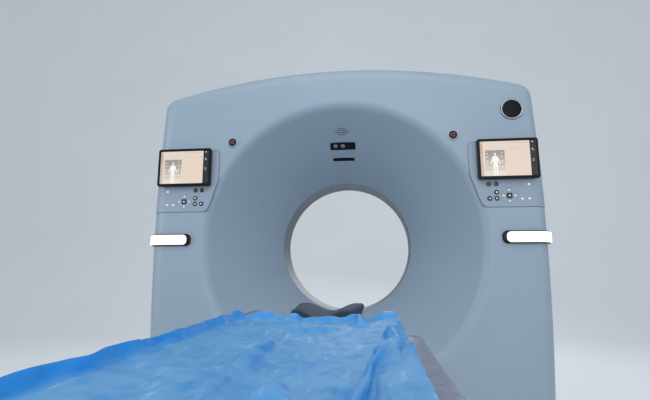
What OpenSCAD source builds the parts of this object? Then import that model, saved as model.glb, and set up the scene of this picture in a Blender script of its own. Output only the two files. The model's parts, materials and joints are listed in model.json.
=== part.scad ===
// Medical CT scanner: a fixed gantry with a flared patient bore and a rotating
// measuring unit inside, and a patient table with a lift and a sliding cradle.
// X is to the right, Y runs from the table into the bore, Z is up.
// The frame's origin lies on the floor under the middle of the bore.

/* [Gantry] */
// Height of the bore axis over the floor
iso_h = 1015; // [1000:5:1040]
// Half of the gantry's width at the height of the bore axis
side_half_w = 926; // [915:1:950]
// Height of the gantry's crown over the bore axis
crown_h = 858; // [850:1:890]
// Depth of the gantry from the front face to the rear face
gantry_d = 1024; // [1004:4:1064]
// Radius of the wide curve of the top edge
crown_r = 3180; // [2900:20:3600]
// Radius of the wide curve of the side edges
side_r = 11000; // [8000:500:16000]
// Length of the rounded shoulder corners along each edge
shoulder = 55; // [35:5:75]
// Radius that rounds the front and rear edges of the covers
edge_r = 75; // [65:5:85]
// Wall of the moulded covers
cover_wall = 5; // [4:0.5:7]
// Depth of the front and rear covers along the sides
cover_d = 190; // [170:5:210]
// Open line between two covers
reveal = 4; // [3:0.5:6]
// Gap between the lower edge of the covers and the floor
floor_gap = 25; // [20:5:40]
// How far the side and top covers bulge out at mid depth
side_bulge = 20; // [12:1:26]
// Height of the joint between side covers and top cover over the bore axis
split_h = 560; // [500:10:620]

/* [Bore] */
// Radius of the patient bore
bore_r = 350; // [346:1:360]
// Half length of the cylindrical stretch of the bore
throat_half = 94; // [86:1:100]
// Distance from the front flare's edge to the gantry's widest line
flare_gap = 272; // [256:2:286]
// Radius of the soft rim of the front flare
rim_r = 60; // [40:5:70]
// Radius at which the rear flare meets the rear face
rear_flare_r = 560; // [540:5:580]
// Wall of the scan window
window_wall = 3; // [2:0.5:4]
// Width of the dark gaskets at both ends of the scan window
gasket_w = 6; // [4:1:10]

/* [Control panels] */
// Width of the panel, from its inner edge to the gantry's widest line
panel_w = 336; // [326:1:346]
// Height of the panel's lower edge over the bore axis
panel_low = 146; // [140:1:152]
// Height of the panel's upper edge over the bore axis
panel_high = 446; // [440:1:470]
// How far the panel stands proud of the cover
panel_t = 2; // [1.5:0.5:3]
// Width of a tablet
tablet_w = 266; // [255:1:272]
// Height of a tablet
tablet_h = 186; // [176:1:190]
// Thickness of a tablet
tablet_t = 18; // [14:1:22]
// Distance of a tablet's centre from the gantry's widest line
tablet_side = 170; // [166:1:176]
// Height of a tablet's centre over the bore axis
tablet_z = 361; // [358:1:364]
// Distance between the cover and the back of a tablet
tablet_gap = 10; // [6:1:14]
// Radius of a round key
key_r = 10.5; // [9:0.5:11]
// How far a key stands proud of its panel
key_proud = 3; // [2.5:0.5:4]
// Travel of a key
key_travel = 1.5; // [1:0.1:2]
// Radius of an emergency stop button
estop_r = 19; // [17:1:22]
// Travel of an emergency stop button
estop_travel = 4; // [3:0.5:5]
// Distance of an emergency stop from the gantry's widest line
estop_side = 401; // [391:1:411]
// Height of an emergency stop over the bore axis
estop_z = 485; // [480:1:500]

/* [Light bars and badge] */
// Length of a light bar on the front, up to the gantry's widest line
bar_l = 211; // [196:1:221]
// Height of a light bar
bar_h = 57; // [50:1:64]
// Height of a light bar's middle over the bore axis
bar_z = 11; // [0:1:20]
// How far a light bar's housing stands off the cover
bar_t = 14; // [10:1:18]
// Thickness of a light bar's lens
lens_t = 5; // [3:1:7]
// Radius of the round plaque
badge_r = 50; // [44:1:56]
// Distance of the plaque from the gantry's widest line
badge_side = 132; // [121:1:141]
// Distance of the plaque below the crown
badge_drop = 258; // [248:1:268]

/* [Rotating unit] */
// Gap between the rotor disc and the gantry's crown
rotor_gap = 83; // [70:1:105]
// Thickness of the rotor disc
disc_t = 25; // [20:1:32]
// Distance from the scan plane to the front of the rotor disc
disc_y = 60; // [56:1:66]
// Gap between the bore and the rotor's hub
hub_gap = 58; // [54:1:66]
// Distance from the hub's inner face to the circle through the bearing's balls
ball_pitch = 44; // [40:1:50]
// Radius of a bearing ball
ball_r = 15; // [12:1:17]
// Number of bearing balls
ball_n = 48; // [36:1:60]
// Distance from the bore's wall to the focal spot of the tube
focus_gap = 190; // [180:5:210]
// Gap between the bore's wall and the detector
detector_gap = 60; // [50:1:70]
// Half of the angle that the detector's arc covers
detector_half_a = 27; // [24:0.5:29]
// How far the belt rim lies inside the edge of the rotor disc
belt_rim_in = 70; // [60:1:85]
// Radius of the motor's pulley
pulley_r = 70; // [60:1:80]
// Distance of the motor from the gantry's widest line
motor_side = 286; // [266:2:300]
// Distance of the motor below the bore axis
motor_drop = 600; // [580:5:620]

/* [Table] */
// Gap between the cradle's underside and the bore
bore_clear = 16; // [14:1:20]
// Thickness of the cradle
cradle_t = 20; // [16:1:24]
// Distance of the cradle's rim below the bore axis
rim_drop = 258; // [254:1:264]
// Length of the cradle
cradle_l = 2450; // [2380:10:2480]
// Distance from the gantry's face to the cradle's head end at rest
cradle_gap = 660; // [640:5:700]
// Thickness of the pad in the middle
pad_t = 42; // [34:1:46]
// Length of the pad
pad_l = 2300; // [2100:20:2340]
// Length of the table body
table_l = 2400; // [2350:10:2500]
// Distance from the gantry's face to the table body's head end
table_gap = 800; // [780:5:860]
// Half of the table body's width
table_half_w = 270; // [262:1:285]
// Distance of the table body's shoulders below the bore axis
shoulder_drop = 300; // [294:1:306]
// Depth of the table body
table_d = 130; // [124:1:140]
// Radius of the table body's corners seen from above
plan_r = 110; // [90:5:130]
// Wall of the table body's shell
shell_wall = 4; // [3:0.5:5]

/* [Lift] */
// Lowest position of the table body against rest
lift_min = -225; // [-230:5:-200]
// Highest position of the table body against rest
lift_max = 150; // [120:5:150]
// Length of the lift's shrouds
shroud_l = 1180; // [1100:20:1300]
// Half of the outer shroud's width
shroud_half_w = 205; // [195:1:210]
// Wall of a shroud
shroud_wall = 4; // [3:0.5:5]
// Distance between the lift's two columns
column_pitch = 700; // [600:20:800]
// Outer radius of a lift column's fixed tube
column_r = 70; // [64:1:76]
// Wall of a column tube
column_wall = 8; // [6:0.5:9]

/* [Soft goods] */
// Length of the drape
drape_l = 1500; // [1300:20:1700]
// Distance from the cradle's head end to the drape
drape_gap = 200; // [160:10:260]
// Half of the drape's width as it lies
drape_half_w = 200; // [185:1:206]
// Height of the drape's folds
fold_h = 22; // [10:1:26]
// Length of the clear cover over the table's shoulders
film_l = 1500; // [1200:20:1800]

/* [Hidden] */

clear = 0.3;              // clearance between two pieces that fit
eps = 1;                  // how far a cutting shape runs past what it cuts
face_y = -gantry_d / 2;   // plane of the gantry's front face
panel_in = side_half_w - panel_w;
tablet_x = side_half_w - tablet_side;
estop_x = side_half_w - estop_side;
bar_in = side_half_w - bar_l;
badge_x = side_half_w - badge_side;
badge_z = crown_h - badge_drop;
flare_r = side_half_w - flare_gap;
rotor_r = crown_h - rotor_gap;
hub_r = bore_r + hub_gap;
ball_pitch_r = hub_r + ball_pitch;
focus_r = bore_r + focus_gap;
detector_r = focus_r + bore_r + detector_gap;
belt_rim_r = rotor_r - belt_rim_in;
motor_x = side_half_w - motor_side;
cradle_r = bore_r - bore_clear;
white = [0.88, 0.91, 0.94];
pale = [0.78, 0.82, 0.86];
dark = [0.08, 0.08, 0.09];
steel = [0.55, 0.57, 0.6];
frame_blue = [0.3, 0.36, 0.44];

// Outline of the gantry seen from the front, in X and height over the axis
side_steps = 8;
corner_steps = 5;
top_steps = 8;
low_z = floor_gap - iso_h;
function side_x(z, g) = side_half_w + g - z * z / (2 * side_r);
function top_z(x, g) = crown_h + g - x * x / (2 * crown_r);
function corner_z(g) = top_z(side_x(crown_h, g), g);
function corner_x(g) = side_x(corner_z(g), g);
function bend(a, b, c, t) = (1 - t) * (1 - t) * a + 2 * t * (1 - t) * b + t * t * c;
function half_outline(g, low) = let (cx = corner_x(g), cz = corner_z(g),
        s = shoulder, z1 = cz - s, x2 = cx - s) concat(
    [for (i = [0:side_steps - 1]) let (z = low + (z1 - low) * i / side_steps) [side_x(z, g), z]],
    [for (i = [0:corner_steps]) bend([side_x(z1, g), z1], [cx, cz], [x2, top_z(x2, g)],
        i / corner_steps)],
    [for (i = [1:top_steps]) let (x = x2 * (1 - i / top_steps)) [x, top_z(x, g)]]);
function outline(g, low) = let (h = half_outline(g, low), n = len(h)) concat(h,
    [for (i = [n - 2:-1:0]) [-h[i][0], h[i][1]]]);

// Closed solid through a row of outlines that stand at the depths ys
module loft(ys, rings) {
    n = len(rings[0]);
    m = len(ys);
    polyhedron(
        [for (k = [0:m - 1]) for (p = rings[k]) [p[0], ys[k], p[1] + iso_h]],
        concat([[for (i = [n - 1:-1:0]) i]], [[for (i = [0:n - 1]) (m - 1) * n + i]],
            [for (k = [0:m - 2]) for (i = [0:n - 1]) let (j = (i + 1) % n)
                [k * n + i, k * n + j, (k + 1) * n + j, (k + 1) * n + i]]));
}

// Rounded front half of the gantry's body, grown by g, that ends at the depth y_end
edge_steps = 6;
edge_step = 90 / edge_steps;
module body_front(g, low, y_end) {
    angles = [for (i = [0:edge_steps]) edge_step * i];
    loft(concat([for (a = angles) face_y + edge_r - (edge_r + g) * cos(a)], [y_end]),
        concat([for (a = angles) outline((edge_r + g) * sin(a) - edge_r, low)],
            [outline(g, low)]));
}

// Patch of the body's skin between the growths g0 and g1. Each row gives the patch's
// inner edge and its height over the axis; the patch wraps round the edge to the angle a_max
function wrap_angles(a_max) = concat([for (i = [0:edge_steps]) if (i * edge_step < a_max) i * edge_step],
    [a_max]);
function skin_row(x, z, g, a_max) = concat([[x, face_y - g, iso_h + z]],
    [for (a = wrap_angles(a_max)) [side_x(z, (edge_r + g) * sin(a) - edge_r),
        face_y + edge_r - (edge_r + g) * cos(a), iso_h + z]]);
module skin_patch(rows, g0, g1, a_max) {
    n = len(wrap_angles(a_max)) + 1;
    m = len(rows);
    front = [for (r = rows) each skin_row(r[0], r[1], g1, a_max)];
    back = [for (r = rows) each skin_row(r[0], r[1], g0, a_max)];
    border = concat([for (i = [0:n - 2]) i], [for (k = [0:m - 2]) k * n + n - 1],
        [for (i = [n - 1:-1:1]) (m - 1) * n + i], [for (k = [m - 1:-1:1]) k * n]);
    b = len(border);
    polyhedron(concat(front, back), concat(
        [for (k = [0:m - 2]) for (i = [0:n - 2]) [k * n + i, k * n + i + 1, (k + 1) * n + i + 1,
            (k + 1) * n + i]],
        [for (k = [0:m - 2]) for (i = [0:n - 2]) let (o = m * n) [o + k * n + i, o + (k + 1) * n + i,
            o + (k + 1) * n + i + 1, o + k * n + i + 1]],
        [for (i = [0:b - 1]) let (p = border[i], q = border[(i + 1) % b])
            [q, p, m * n + p, m * n + q]]));
}

// Turns a shape that was drawn round Z so that it stands round the bore axis
module on_axis(y = 0) {
    translate([0, y, iso_h]) rotate([-90, 0, 0]) children();
}
module ring(r0, r1, y0, y1) {
    on_axis(y0) difference() {
        cylinder(r = r1, h = y1 - y0, $fn = 180);
        translate([0, 0, -eps]) cylinder(r = r0, h = y1 - y0 + 2 * eps, $fn = 180);
    }
}
module both_sides() {
    children();
    mirror([1, 0, 0]) children();
}
module on_side(side) {
    if (side < 0) mirror([1, 0, 0]) children();
    else children();
}

// Flare between a face and the bore: radius at the face and radius of its rim
function flare_a(r) = atan((r - bore_r) / (gantry_d / 2 - throat_half));
function rim_len(r, rr) = rr * tan((90 - flare_a(r)) / 2);
rim_steps = 6;
lap = 8;                  // flat land outside the rim, which laps the cover's face
module flare(r, rr) {
    a = flare_a(r);
    c = [r + rim_len(r, rr), face_y + rr];
    turns = [for (i = [0:rim_steps]) (90 - a) * i / rim_steps];
    on_axis() rotate_extrude($fn = 180) polygon(concat(
        [[c[0] + lap, face_y]],
        [for (t = turns) c - rr * [sin(t), cos(t)]],
        [[bore_r, -throat_half], [bore_r + cover_wall / cos(a), -throat_half]],
        [for (i = [rim_steps:-1:0]) c - (rr - cover_wall) * [sin(turns[i]), cos(turns[i])]],
        [[c[0] + lap, face_y + cover_wall]]));
}

// Cover with its flare, an open shell with a tongue under the neighbouring covers
tongue_w = 12;
tongue_t = 3;
module tongue() {
    y = face_y + cover_d;
    ys = [y - tongue_w, y - clear, y, y + reveal + tongue_w];
    difference() {
        loft(ys, [for (g = [1, 1, -clear, -clear]) outline(g - cover_wall, low_z)]);
        translate([0, 0, -eps]) loft([ys[0] - eps, ys[3] + eps],
            [for (i = [0, 1]) outline(-cover_wall - clear - tongue_t, low_z - eps)]);
    }
}
module cover_shell(r, rr) {
    difference() {
        body_front(0, low_z, face_y + cover_d);
        body_front(-cover_wall, low_z - eps, face_y + cover_d + eps);
        on_axis(face_y - eps) cylinder(r = r + rim_len(r, rr) + lap / 2, h = cover_wall + 2 * eps,
            $fn = 180);
    }
    tongue();
    flare(r, rr);
}

// Place on the upper cone of the front flare at depth d behind the face: the
// drawing plane is the cone's surface and its local Z points out of the wall
cone_a = flare_a(flare_r);
module on_cone(d) {
    translate([0, face_y + d, iso_h + flare_r - d * tan(cone_a)])
        rotate([180 - cone_a, 0, 0]) rotate([0, 0, 180]) children();
}
function rrect(w, h, r, n = 4) = [for (q = [[1, 1, 0], [-1, 1, 90], [-1, -1, 180], [1, -1, 270]])
    for (i = [0:n]) [q[0] * (w / 2 - r) + r * cos(q[2] + 90 * i / n),
        q[1] * (h / 2 - r) + r * sin(q[2] + 90 * i / n)]];
module rbox(w, h, r, z0, z1) {
    translate([0, 0, z0]) linear_extrude(z1 - z0) polygon(rrect(w, h, r));
}

// Things in the upper flare: depth behind the face, width and height
speaker_d = 124;
slot_lengths = [41, 69, 69, 41];
slot_pitch = 12.5;
slot_h = 5;
camera_d = 200;
camera_w = 131;
camera_h = 50;
lens_xs = [0, 38];         // places of the camera's two lenses, measured to the left
lens_r = 12;
display_d = 272;
display_w = 115;
display_h = 23;
insert_t = 16;            // depth of the camera window and display in the wall
module flare_cuts() {
    for (i = [0:3]) on_cone(speaker_d) translate([0, (i - 1.5) * slot_pitch, 0])
        rbox(slot_lengths[i], slot_h, slot_h / 2.1, -cover_wall - 4, 4);
    on_cone(camera_d) rbox(camera_w + 2 * clear, camera_h + 2 * clear, 8, -insert_t, 4);
    on_cone(display_d) rbox(display_w + 2 * clear, display_h + 2 * clear, 4, -insert_t, 4);
}

// Keys of one panel: place seen from under the tablet's middle at the panel's lower edge
key_base = [tablet_x, panel_low];
green_keys = [for (k = [[-85, 104], [-53, 104]]) key_base + k];
ring_keys = [for (k = [[-53, 66], [-53, 38], [-84, 38]]) key_base + k];
nav_key = key_base + [2, 50];
nav_key_half = 12;
key_depth = 9;            // how far a key reaches behind the cover's face
block_x = [tablet_x - 108, tablet_x + 26];      // the key block in the cover
block_z = [panel_low + 22, panel_low + 120];
block_t = 16;
module key_hole(p, y0, y1) {
    translate([p[0], y0, iso_h + p[1]]) rotate([-90, 0, 0]) cylinder(r = key_r + clear, h = y1 - y0,
        $fn = 48);
}
module nav_prism(half, r, y0, y1) {
    translate([nav_key[0], y0, iso_h + nav_key[1]]) rotate([-90, 0, 0]) linear_extrude(y1 - y0)
        polygon(rrect(2 * half, 2 * half, r));
}
module block_prism(g, y0, y1) {
    translate([block_x[0] - g, y0, iso_h + block_z[0] - g])
        cube([block_x[1] - block_x[0] + 2 * g, y1 - y0, block_z[1] - block_z[0] + 2 * g]);
}
bezel_r = estop_r + 6;
estop_stem_r = estop_r - 7;
module estop_hole(r, y0, y1) {
    translate([estop_x, y0, iso_h + estop_z]) rotate([-90, 0, 0]) cylinder(r = r, h = y1 - y0,
        $fn = 64);
}

module front_cover() {
    color(white) difference() {
        cover_shell(flare_r, rim_r);
        flare_cuts();
        both_sides() {
            block_prism(clear, face_y - eps, face_y + block_t);
            estop_hole(estop_stem_r + 2 + clear, face_y - eps, face_y + cover_wall + eps);
        }
    }
}

// The rear cover is the same body turned round, with air slots low on both sides
louvre_n = 9;
louvre_pitch = 26;
louvre_w = 300;
louvre_x = side_half_w - 306;
louvre_low = 110;
module rear_cover() {
    color(white) rotate([0, 0, 180]) difference() {
        cover_shell(rear_flare_r, rim_r);
        both_sides() for (i = [0:louvre_n - 1])
            translate([louvre_x, face_y + cover_wall / 2, louvre_low + i * louvre_pitch])
                rotate([90, 0, 0]) rbox(louvre_w, 9, 4, -cover_wall, cover_wall);
    }
}

// The band between the two covers bulges out and is cut into a top and two sides
band_steps = 6;
band_y = face_y + cover_d + reveal;
band_ys = [for (i = [0:band_steps]) band_y * (1 - 2 * i / band_steps)];
function bulge(y) = side_bulge * pow(cos(90 * y / band_y), 2);
module band_half(low, high, x0, x1) {
    intersection() {
        difference() {
            loft(band_ys, [for (y = band_ys) outline(bulge(y), low_z)]);
            loft(concat([band_y - eps], band_ys, [-band_y + eps]),
                [for (y = concat([band_y], band_ys, [-band_y])) outline(bulge(y) - cover_wall,
                    low_z - eps)]);
        }
        translate([x0, band_y - eps, low]) cube([x1 - x0, -2 * band_y + 2 * eps, high - low]);
    }
}
split_z = iso_h + split_h;
far_x = side_half_w + side_bulge + 10;
far_z = iso_h + crown_h + side_bulge + 10;
module top_cover() {
    color(white) band_half(split_z + reveal, far_z, -far_x, far_x);
}
module side_cover(side) {
    color(white) on_side(side) band_half(0, split_z, 0, far_x);
}

// Bore lining
module throat_gaskets() {
    color(dark) {
        ring(bore_r, bore_r + 14, -throat_half, -throat_half + gasket_w);
        ring(bore_r, bore_r + 14, throat_half - gasket_w, throat_half);
    }
}
port_r = 9;
port_y = 60;
port_angles = [0, 90, 180];
module port_prism(r, r0, r1) {
    for (a = port_angles) translate([0, port_y, iso_h]) rotate([0, -a, 0]) translate([r0, 0, 0])
        rotate([0, 90, 0]) cylinder(r = r, h = r1 - r0, $fn = 32);
}
module scan_window() {
    color([0.3, 0.33, 0.36]) difference() {
        ring(bore_r, bore_r + window_wall, -throat_half + gasket_w, throat_half - gasket_w);
        port_prism(port_r + clear, bore_r - 2, bore_r + window_wall + 2);
    }
}
module laser_ports() {
    color(dark) port_prism(port_r, bore_r + 1, bore_r + window_wall + 12);
}

// Camera window with its two lenses, and the dark display slot
module camera_window() {
    color(dark) on_cone(camera_d) {
        difference() {
            rbox(camera_w, camera_h, 8, -insert_t + eps, 0);
            for (x = lens_xs) translate([x, 0, -2]) cylinder(r = lens_r + 1, h = 4, $fn = 40);
        }
        for (x = lens_xs) translate([x, 0, -2]) cylinder(r = lens_r, h = 1.6, $fn = 40);
    }
}
module display_slot() {
    color(dark) on_cone(display_d) rbox(display_w, display_h, 4, -insert_t + eps, -1);
}

// Panel plate that follows the cover's rounded edge, with the key block behind it
panel_rows = [[panel_in + 28, panel_high], [panel_in + 8, panel_high - 2],
    [panel_in + 2, panel_high - 8], [panel_in, panel_high - 30], [panel_in, panel_high - 97],
    [panel_in + 5, panel_low + 140], [panel_in + 17, panel_low + 108], [panel_in + 46, panel_low + 22],
    [panel_in + 53, panel_low + 9], [panel_in + 66, panel_low + 1], [panel_in + 78, panel_low]];
panel_wrap = 75;          // angle to which the panel wraps round the cover's edge
tablet_foot_size = [120, 90, 12];   // width, height and corner radius
module tablet_foot(g, y0, y1) {
    translate([tablet_x, y1, iso_h + tablet_z]) rotate([90, 0, 0])
        rbox(tablet_foot_size[0] + 2 * g, tablet_foot_size[1] + 2 * g, tablet_foot_size[2], 0, y1 - y0);
}
module control_panels() {
    color(pale) both_sides() difference() {
        union() {
            skin_patch(panel_rows, clear, panel_t, panel_wrap);
            block_prism(0, face_y - clear - panel_t / 2, face_y + block_t);
        }
        for (p = concat(green_keys, ring_keys)) key_hole(p, face_y - 2 * panel_t, face_y
            + key_depth + key_travel + clear);
        nav_prism(nav_key_half + clear, 3, face_y - 2 * panel_t, face_y + key_depth + key_travel
            + clear);
        tablet_foot(clear, face_y - 2 * panel_t - eps, face_y + eps);
    }
}
module round_key(p, side, tint) {
    y0 = face_y - panel_t - key_proud;
    color(tint) on_side(side) translate([p[0], y0, iso_h + p[1]]) rotate([-90, 0, 0]) {
        cylinder(r = key_r - 1, h = 1.2, $fn = 48);
        translate([0, 0, 1]) cylinder(r = key_r, h = face_y + key_depth - y0 - 1, $fn = 48);
    }
}
module nav_button(side) {
    color(dark) on_side(side) nav_prism(nav_key_half, 3, face_y - panel_t - key_proud,
        face_y + key_depth);
}
green = [0.05, 0.25, 0.18];

// Tablet: a case on a short foot, with its screen let into the front
bezel = 13;
screen_t = 2;
module tablet_cases() {
    back = face_y - tablet_gap;
    color(dark) both_sides() {
        translate([tablet_x, back, iso_h + tablet_z]) rotate([90, 0, 0]) difference() {
            rbox(tablet_w, tablet_h, 12, 0, tablet_t);
            rbox(tablet_w - 2 * bezel, tablet_h - 2 * bezel, 2, tablet_t - screen_t, tablet_t + eps);
        }
        tablet_foot(0, back - eps, face_y);
    }
}
module tablet_screens() {
    color([0.9, 0.85, 0.78]) both_sides() translate([tablet_x, face_y - tablet_gap, iso_h + tablet_z])
        rotate([90, 0, 0]) rbox(tablet_w - 2 * bezel - 2 * clear, tablet_h - 2 * bezel - 2 * clear, 2,
            tablet_t - screen_t, tablet_t - 0.4);
}

// Emergency stops: a fixed bezel and a mushroom button that travels into it
bezel_t = 8;
estop_head_t = 6;
module estop_bezels() {
    color(pale) both_sides() difference() {
        union() {
            estop_hole(bezel_r, face_y - bezel_t, face_y);
            estop_hole(estop_stem_r + 2, face_y - eps, face_y + 22);
        }
        estop_hole(estop_r + clear, face_y - bezel_t - eps, face_y - 1.5);
        estop_hole(estop_stem_r - 2 + clear, face_y - 3, face_y + 20);
    }
}
module estop(side) {
    top = face_y - 1.5 - clear - estop_travel - estop_head_t;
    color([0.55, 0.08, 0.1]) on_side(side) {
        estop_hole(estop_r, top, top + estop_head_t);
        estop_hole(estop_stem_r - 2, top + estop_head_t - eps, face_y + 14);
    }
}

// Light bars wrap round the cover's edge
bar_wrap = 85;            // angle to which a bar wraps round the cover's edge
bar_end_r = 24;           // radius of the corners at a bar's inner end
lens_inset = 5;           // rim of the housing above and below the lens
lens_end = 16;            // rim of the housing at the lens's inner end
function bar_rows(inset, end) = let (h = bar_h / 2 - inset, x = bar_in + end, r = bar_end_r
        - inset) concat(
    [for (i = [0:4]) let (a = 22.5 * i) [x + r - r * sin(a), bar_z + h - r + r * cos(a)]],
    [for (i = [0:4]) let (a = 22.5 * i) [x + r - r * cos(a), bar_z - h + r - r * sin(a)]]);
module light_bar_housings() {
    color(dark) both_sides() skin_patch(bar_rows(0, 0), clear, bar_t, bar_wrap);
}
module light_bar_lenses() {
    color([1, 1, 0.97]) both_sides() skin_patch(bar_rows(lens_inset, lens_end), bar_t + clear,
        bar_t + lens_t, bar_wrap - 4);
}
module badge() {
    color(dark) translate([badge_x, face_y, iso_h + badge_z]) rotate([90, 0, 0]) {
        cylinder(r = badge_r, h = 4, $fn = 96);
        translate([0, 0, 3]) cylinder(r = badge_r - 7, h = 3, $fn = 96);
        rotate_extrude($fn = 96) translate([badge_r - 4, 4]) circle(r = 3.5, $fn = 24);
    }
}

// Base of the gantry: two side rails, two cross rails and arms for the side covers
rail_x = side_half_w - 166;
rail_w = 150;
base_t = 90;
anchor_y = 360;
anchor_r = 9;
rail_l = 2 * anchor_y + 120;
arm_w = 60;
arm_y = 144;              // distance of the side covers' arms from the scan plane's middle
module base_frame() {
    inner_x = side_x(low_z, bulge(arm_y + arm_w / 2)) - cover_wall - clear;
    color(frame_blue) difference() {
        union() {
            both_sides() translate([rail_x - rail_w / 2, -rail_l / 2, 0])
                cube([rail_w, rail_l, base_t]);
            for (y = [-1, 1]) translate([-rail_x, y * (anchor_y - 90) - 50, 20])
                cube([2 * rail_x, 100, base_t - 20]);
            both_sides() for (y = [-1, 1]) translate([rail_x, y * arm_y - arm_w / 2, floor_gap])
                cube([inner_x - rail_x, arm_w, 70 - floor_gap]);
            translate([-rail_x, stator_y - 20, 20]) cube([2 * rail_x, stator_t + 40, base_t - 20]);
        }
        for (x = [-1, 1]) for (y = [-1, 1]) translate([x * rail_x, y * anchor_y, -eps])
            cylinder(r = anchor_r, h = base_t + 2 * eps, $fn = 48);
    }
}

// Upright frame that carries the bearing, with legs on the base and lightening holes
stator_y = 125;
stator_t = 50;
belt_rim_t = 20;
ring_room = belt_rim_r - belt_rim_t - ball_pitch_r;
race_share = 0.3133;      // shares of that room: race, gap to the slip ring, slip ring
slip_gap_share = 0.1073;
slip_share = 0.236;
race_out_r = ball_pitch_r + race_share * ring_room;
stator_r = race_out_r + 115;
leg_in = 600;             // half width of the legs at the height of the bore axis
leg_knee = 560;           // distance below the bore axis at which the legs reach full width
light_r = 85;
module stator_frame() {
    low = iso_h - base_t;
    color(frame_blue) on_axis(stator_y) difference() {
        union() {
            cylinder(r = stator_r, h = stator_t, $fn = 180);
            linear_extrude(stator_t) polygon([[-rail_x, low], [rail_x, low], [rail_x, leg_knee],
                [leg_in, 0], [-leg_in, 0], [-rail_x, leg_knee]]);
        }
        translate([0, 0, -eps]) {
            cylinder(r = race_out_r, h = stator_t + 2 * eps, $fn = 180);
            for (x = [-1, 0, 1]) translate([x * 330, low - 150, 0]) cylinder(r = light_r,
                h = stator_t + 2 * eps, $fn = 48);
            translate([-motor_x, motor_drop, 0]) cylinder(r = motor_boss_r + clear,
                h = stator_t + 2 * eps, $fn = 48);
        }
    }
}

// Bearing: the fixed outer race, the balls, and the rotor's hub as inner race
hub_end = stator_y + stator_t - 5;
ball_y = stator_y + stator_t / 2;
race_gap = 8;
race_lip = 20;
module ball_groove() {
    on_axis(ball_y) rotate_extrude($fn = 180) translate([ball_pitch_r, 0])
        circle(r = ball_r + clear / 2, $fn = 48);
}
module bearing_race() {
    color(steel) difference() {
        union() {
            ring(ball_pitch_r + race_gap, race_out_r - clear, stator_y, stator_y + stator_t);
            ring(race_out_r - race_lip, race_out_r + 25, stator_y + stator_t, stator_y + stator_t + 12);
        }
        ball_groove();
    }
}
module bearing_balls() {
    color([0.8, 0.8, 0.82]) on_axis(ball_y) for (i = [0:ball_n - 1])
        rotate([0, 0, 360 * i / ball_n]) translate([ball_pitch_r, 0, 0]) sphere(r = ball_r, $fn = 32);
}
disc_back = disc_y + disc_t;
belt_w = 24;
slip_r0 = race_out_r + slip_gap_share * ring_room;
slip_r1 = slip_r0 + slip_share * ring_room;
slip_t = 14;
relief_pitch = (slip_r1 + belt_rim_r - belt_rim_t) / 2;
relief_r = (belt_rim_r - belt_rim_t - slip_r1) / 2 - 4;
module rotor_drum() {
    color([0.62, 0.64, 0.66]) difference() {
        union() {
            on_axis(disc_y) linear_extrude(disc_t) difference() {
                circle(r = rotor_r, $fn = 180);
                circle(r = hub_r, $fn = 180);
                for (a = [22.5:45:360]) rotate([0, 0, a]) translate([relief_pitch, 0])
                    circle(r = relief_r, $fn = 48);
            }
            ring(hub_r, ball_pitch_r - race_gap, disc_back - eps, hub_end);
            ring(belt_rim_r - belt_rim_t, belt_rim_r, disc_back - eps, disc_back + belt_w);
        }
        ball_groove();
    }
}

// X-ray tube: a turned housing along the bore axis with cooling fins, on the disc
tube_r = 105;
tube_front = -170;
tube_over_focus = 75;     // how far the tube's axis lies outside the focal spot
tube_rib = 15;            // height of the tube's collar and ribs
tube_collar = [20, 60];   // place and width of the collar behind the tube's front
tube_ribs = [95, 18, 8];  // place of the first rib, distance between ribs, their width
tube_rib_n = 6;
tube_foot = [60, 40, 50, 60];       // distance from the middle, width, length and height
socket_r = 32;
socket_l = 55;
socket_in = 6;            // distance of a cable socket from the edge of the tube's front
module xray_tube() {
    color([0.7, 0.7, 0.72]) {
        translate([0, tube_front, iso_h + focus_r + tube_over_focus]) rotate([-90, 0, 0]) {
            cylinder(r = tube_r - tube_rib, h = disc_y - tube_front, $fn = 96);
            translate([0, 0, tube_collar[0]]) cylinder(r = tube_r, h = tube_collar[1], $fn = 96);
            for (i = [0:tube_rib_n - 1]) translate([0, 0, tube_ribs[0] + i * tube_ribs[1]])
                cylinder(r = tube_r, h = tube_ribs[2], $fn = 96);
            for (a = [-35, -145]) rotate([0, 0, a]) translate([tube_r - tube_rib - socket_r - socket_in, 0,
                -socket_l]) cylinder(r = socket_r, h = socket_l + eps, $fn = 48);
        }
        for (x = [-1, 1]) translate([x * tube_foot[0] - tube_foot[1] / 2, disc_y - tube_foot[2],
            iso_h + focus_r - 20]) cube([tube_foot[1], tube_foot[2], tube_foot[3]]);
    }
}
collimator_w = 190;
collimator_h = 75;
collimator_front = 60;
collimator_slot = [120, 50];
module tube_collimator() {
    top = focus_r + tube_over_focus - tube_r - clear;
    color([0.25, 0.26, 0.28]) translate([0, 0, iso_h + top - collimator_h]) difference() {
        translate([-collimator_w / 2, -collimator_front, 0])
            cube([collimator_w, collimator_front + disc_y, collimator_h]);
        translate([-collimator_slot[0] / 2, -collimator_slot[1] / 2, -eps])
            cube([collimator_slot[0], collimator_slot[1], collimator_h + 2 * eps]);
    }
}

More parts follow.
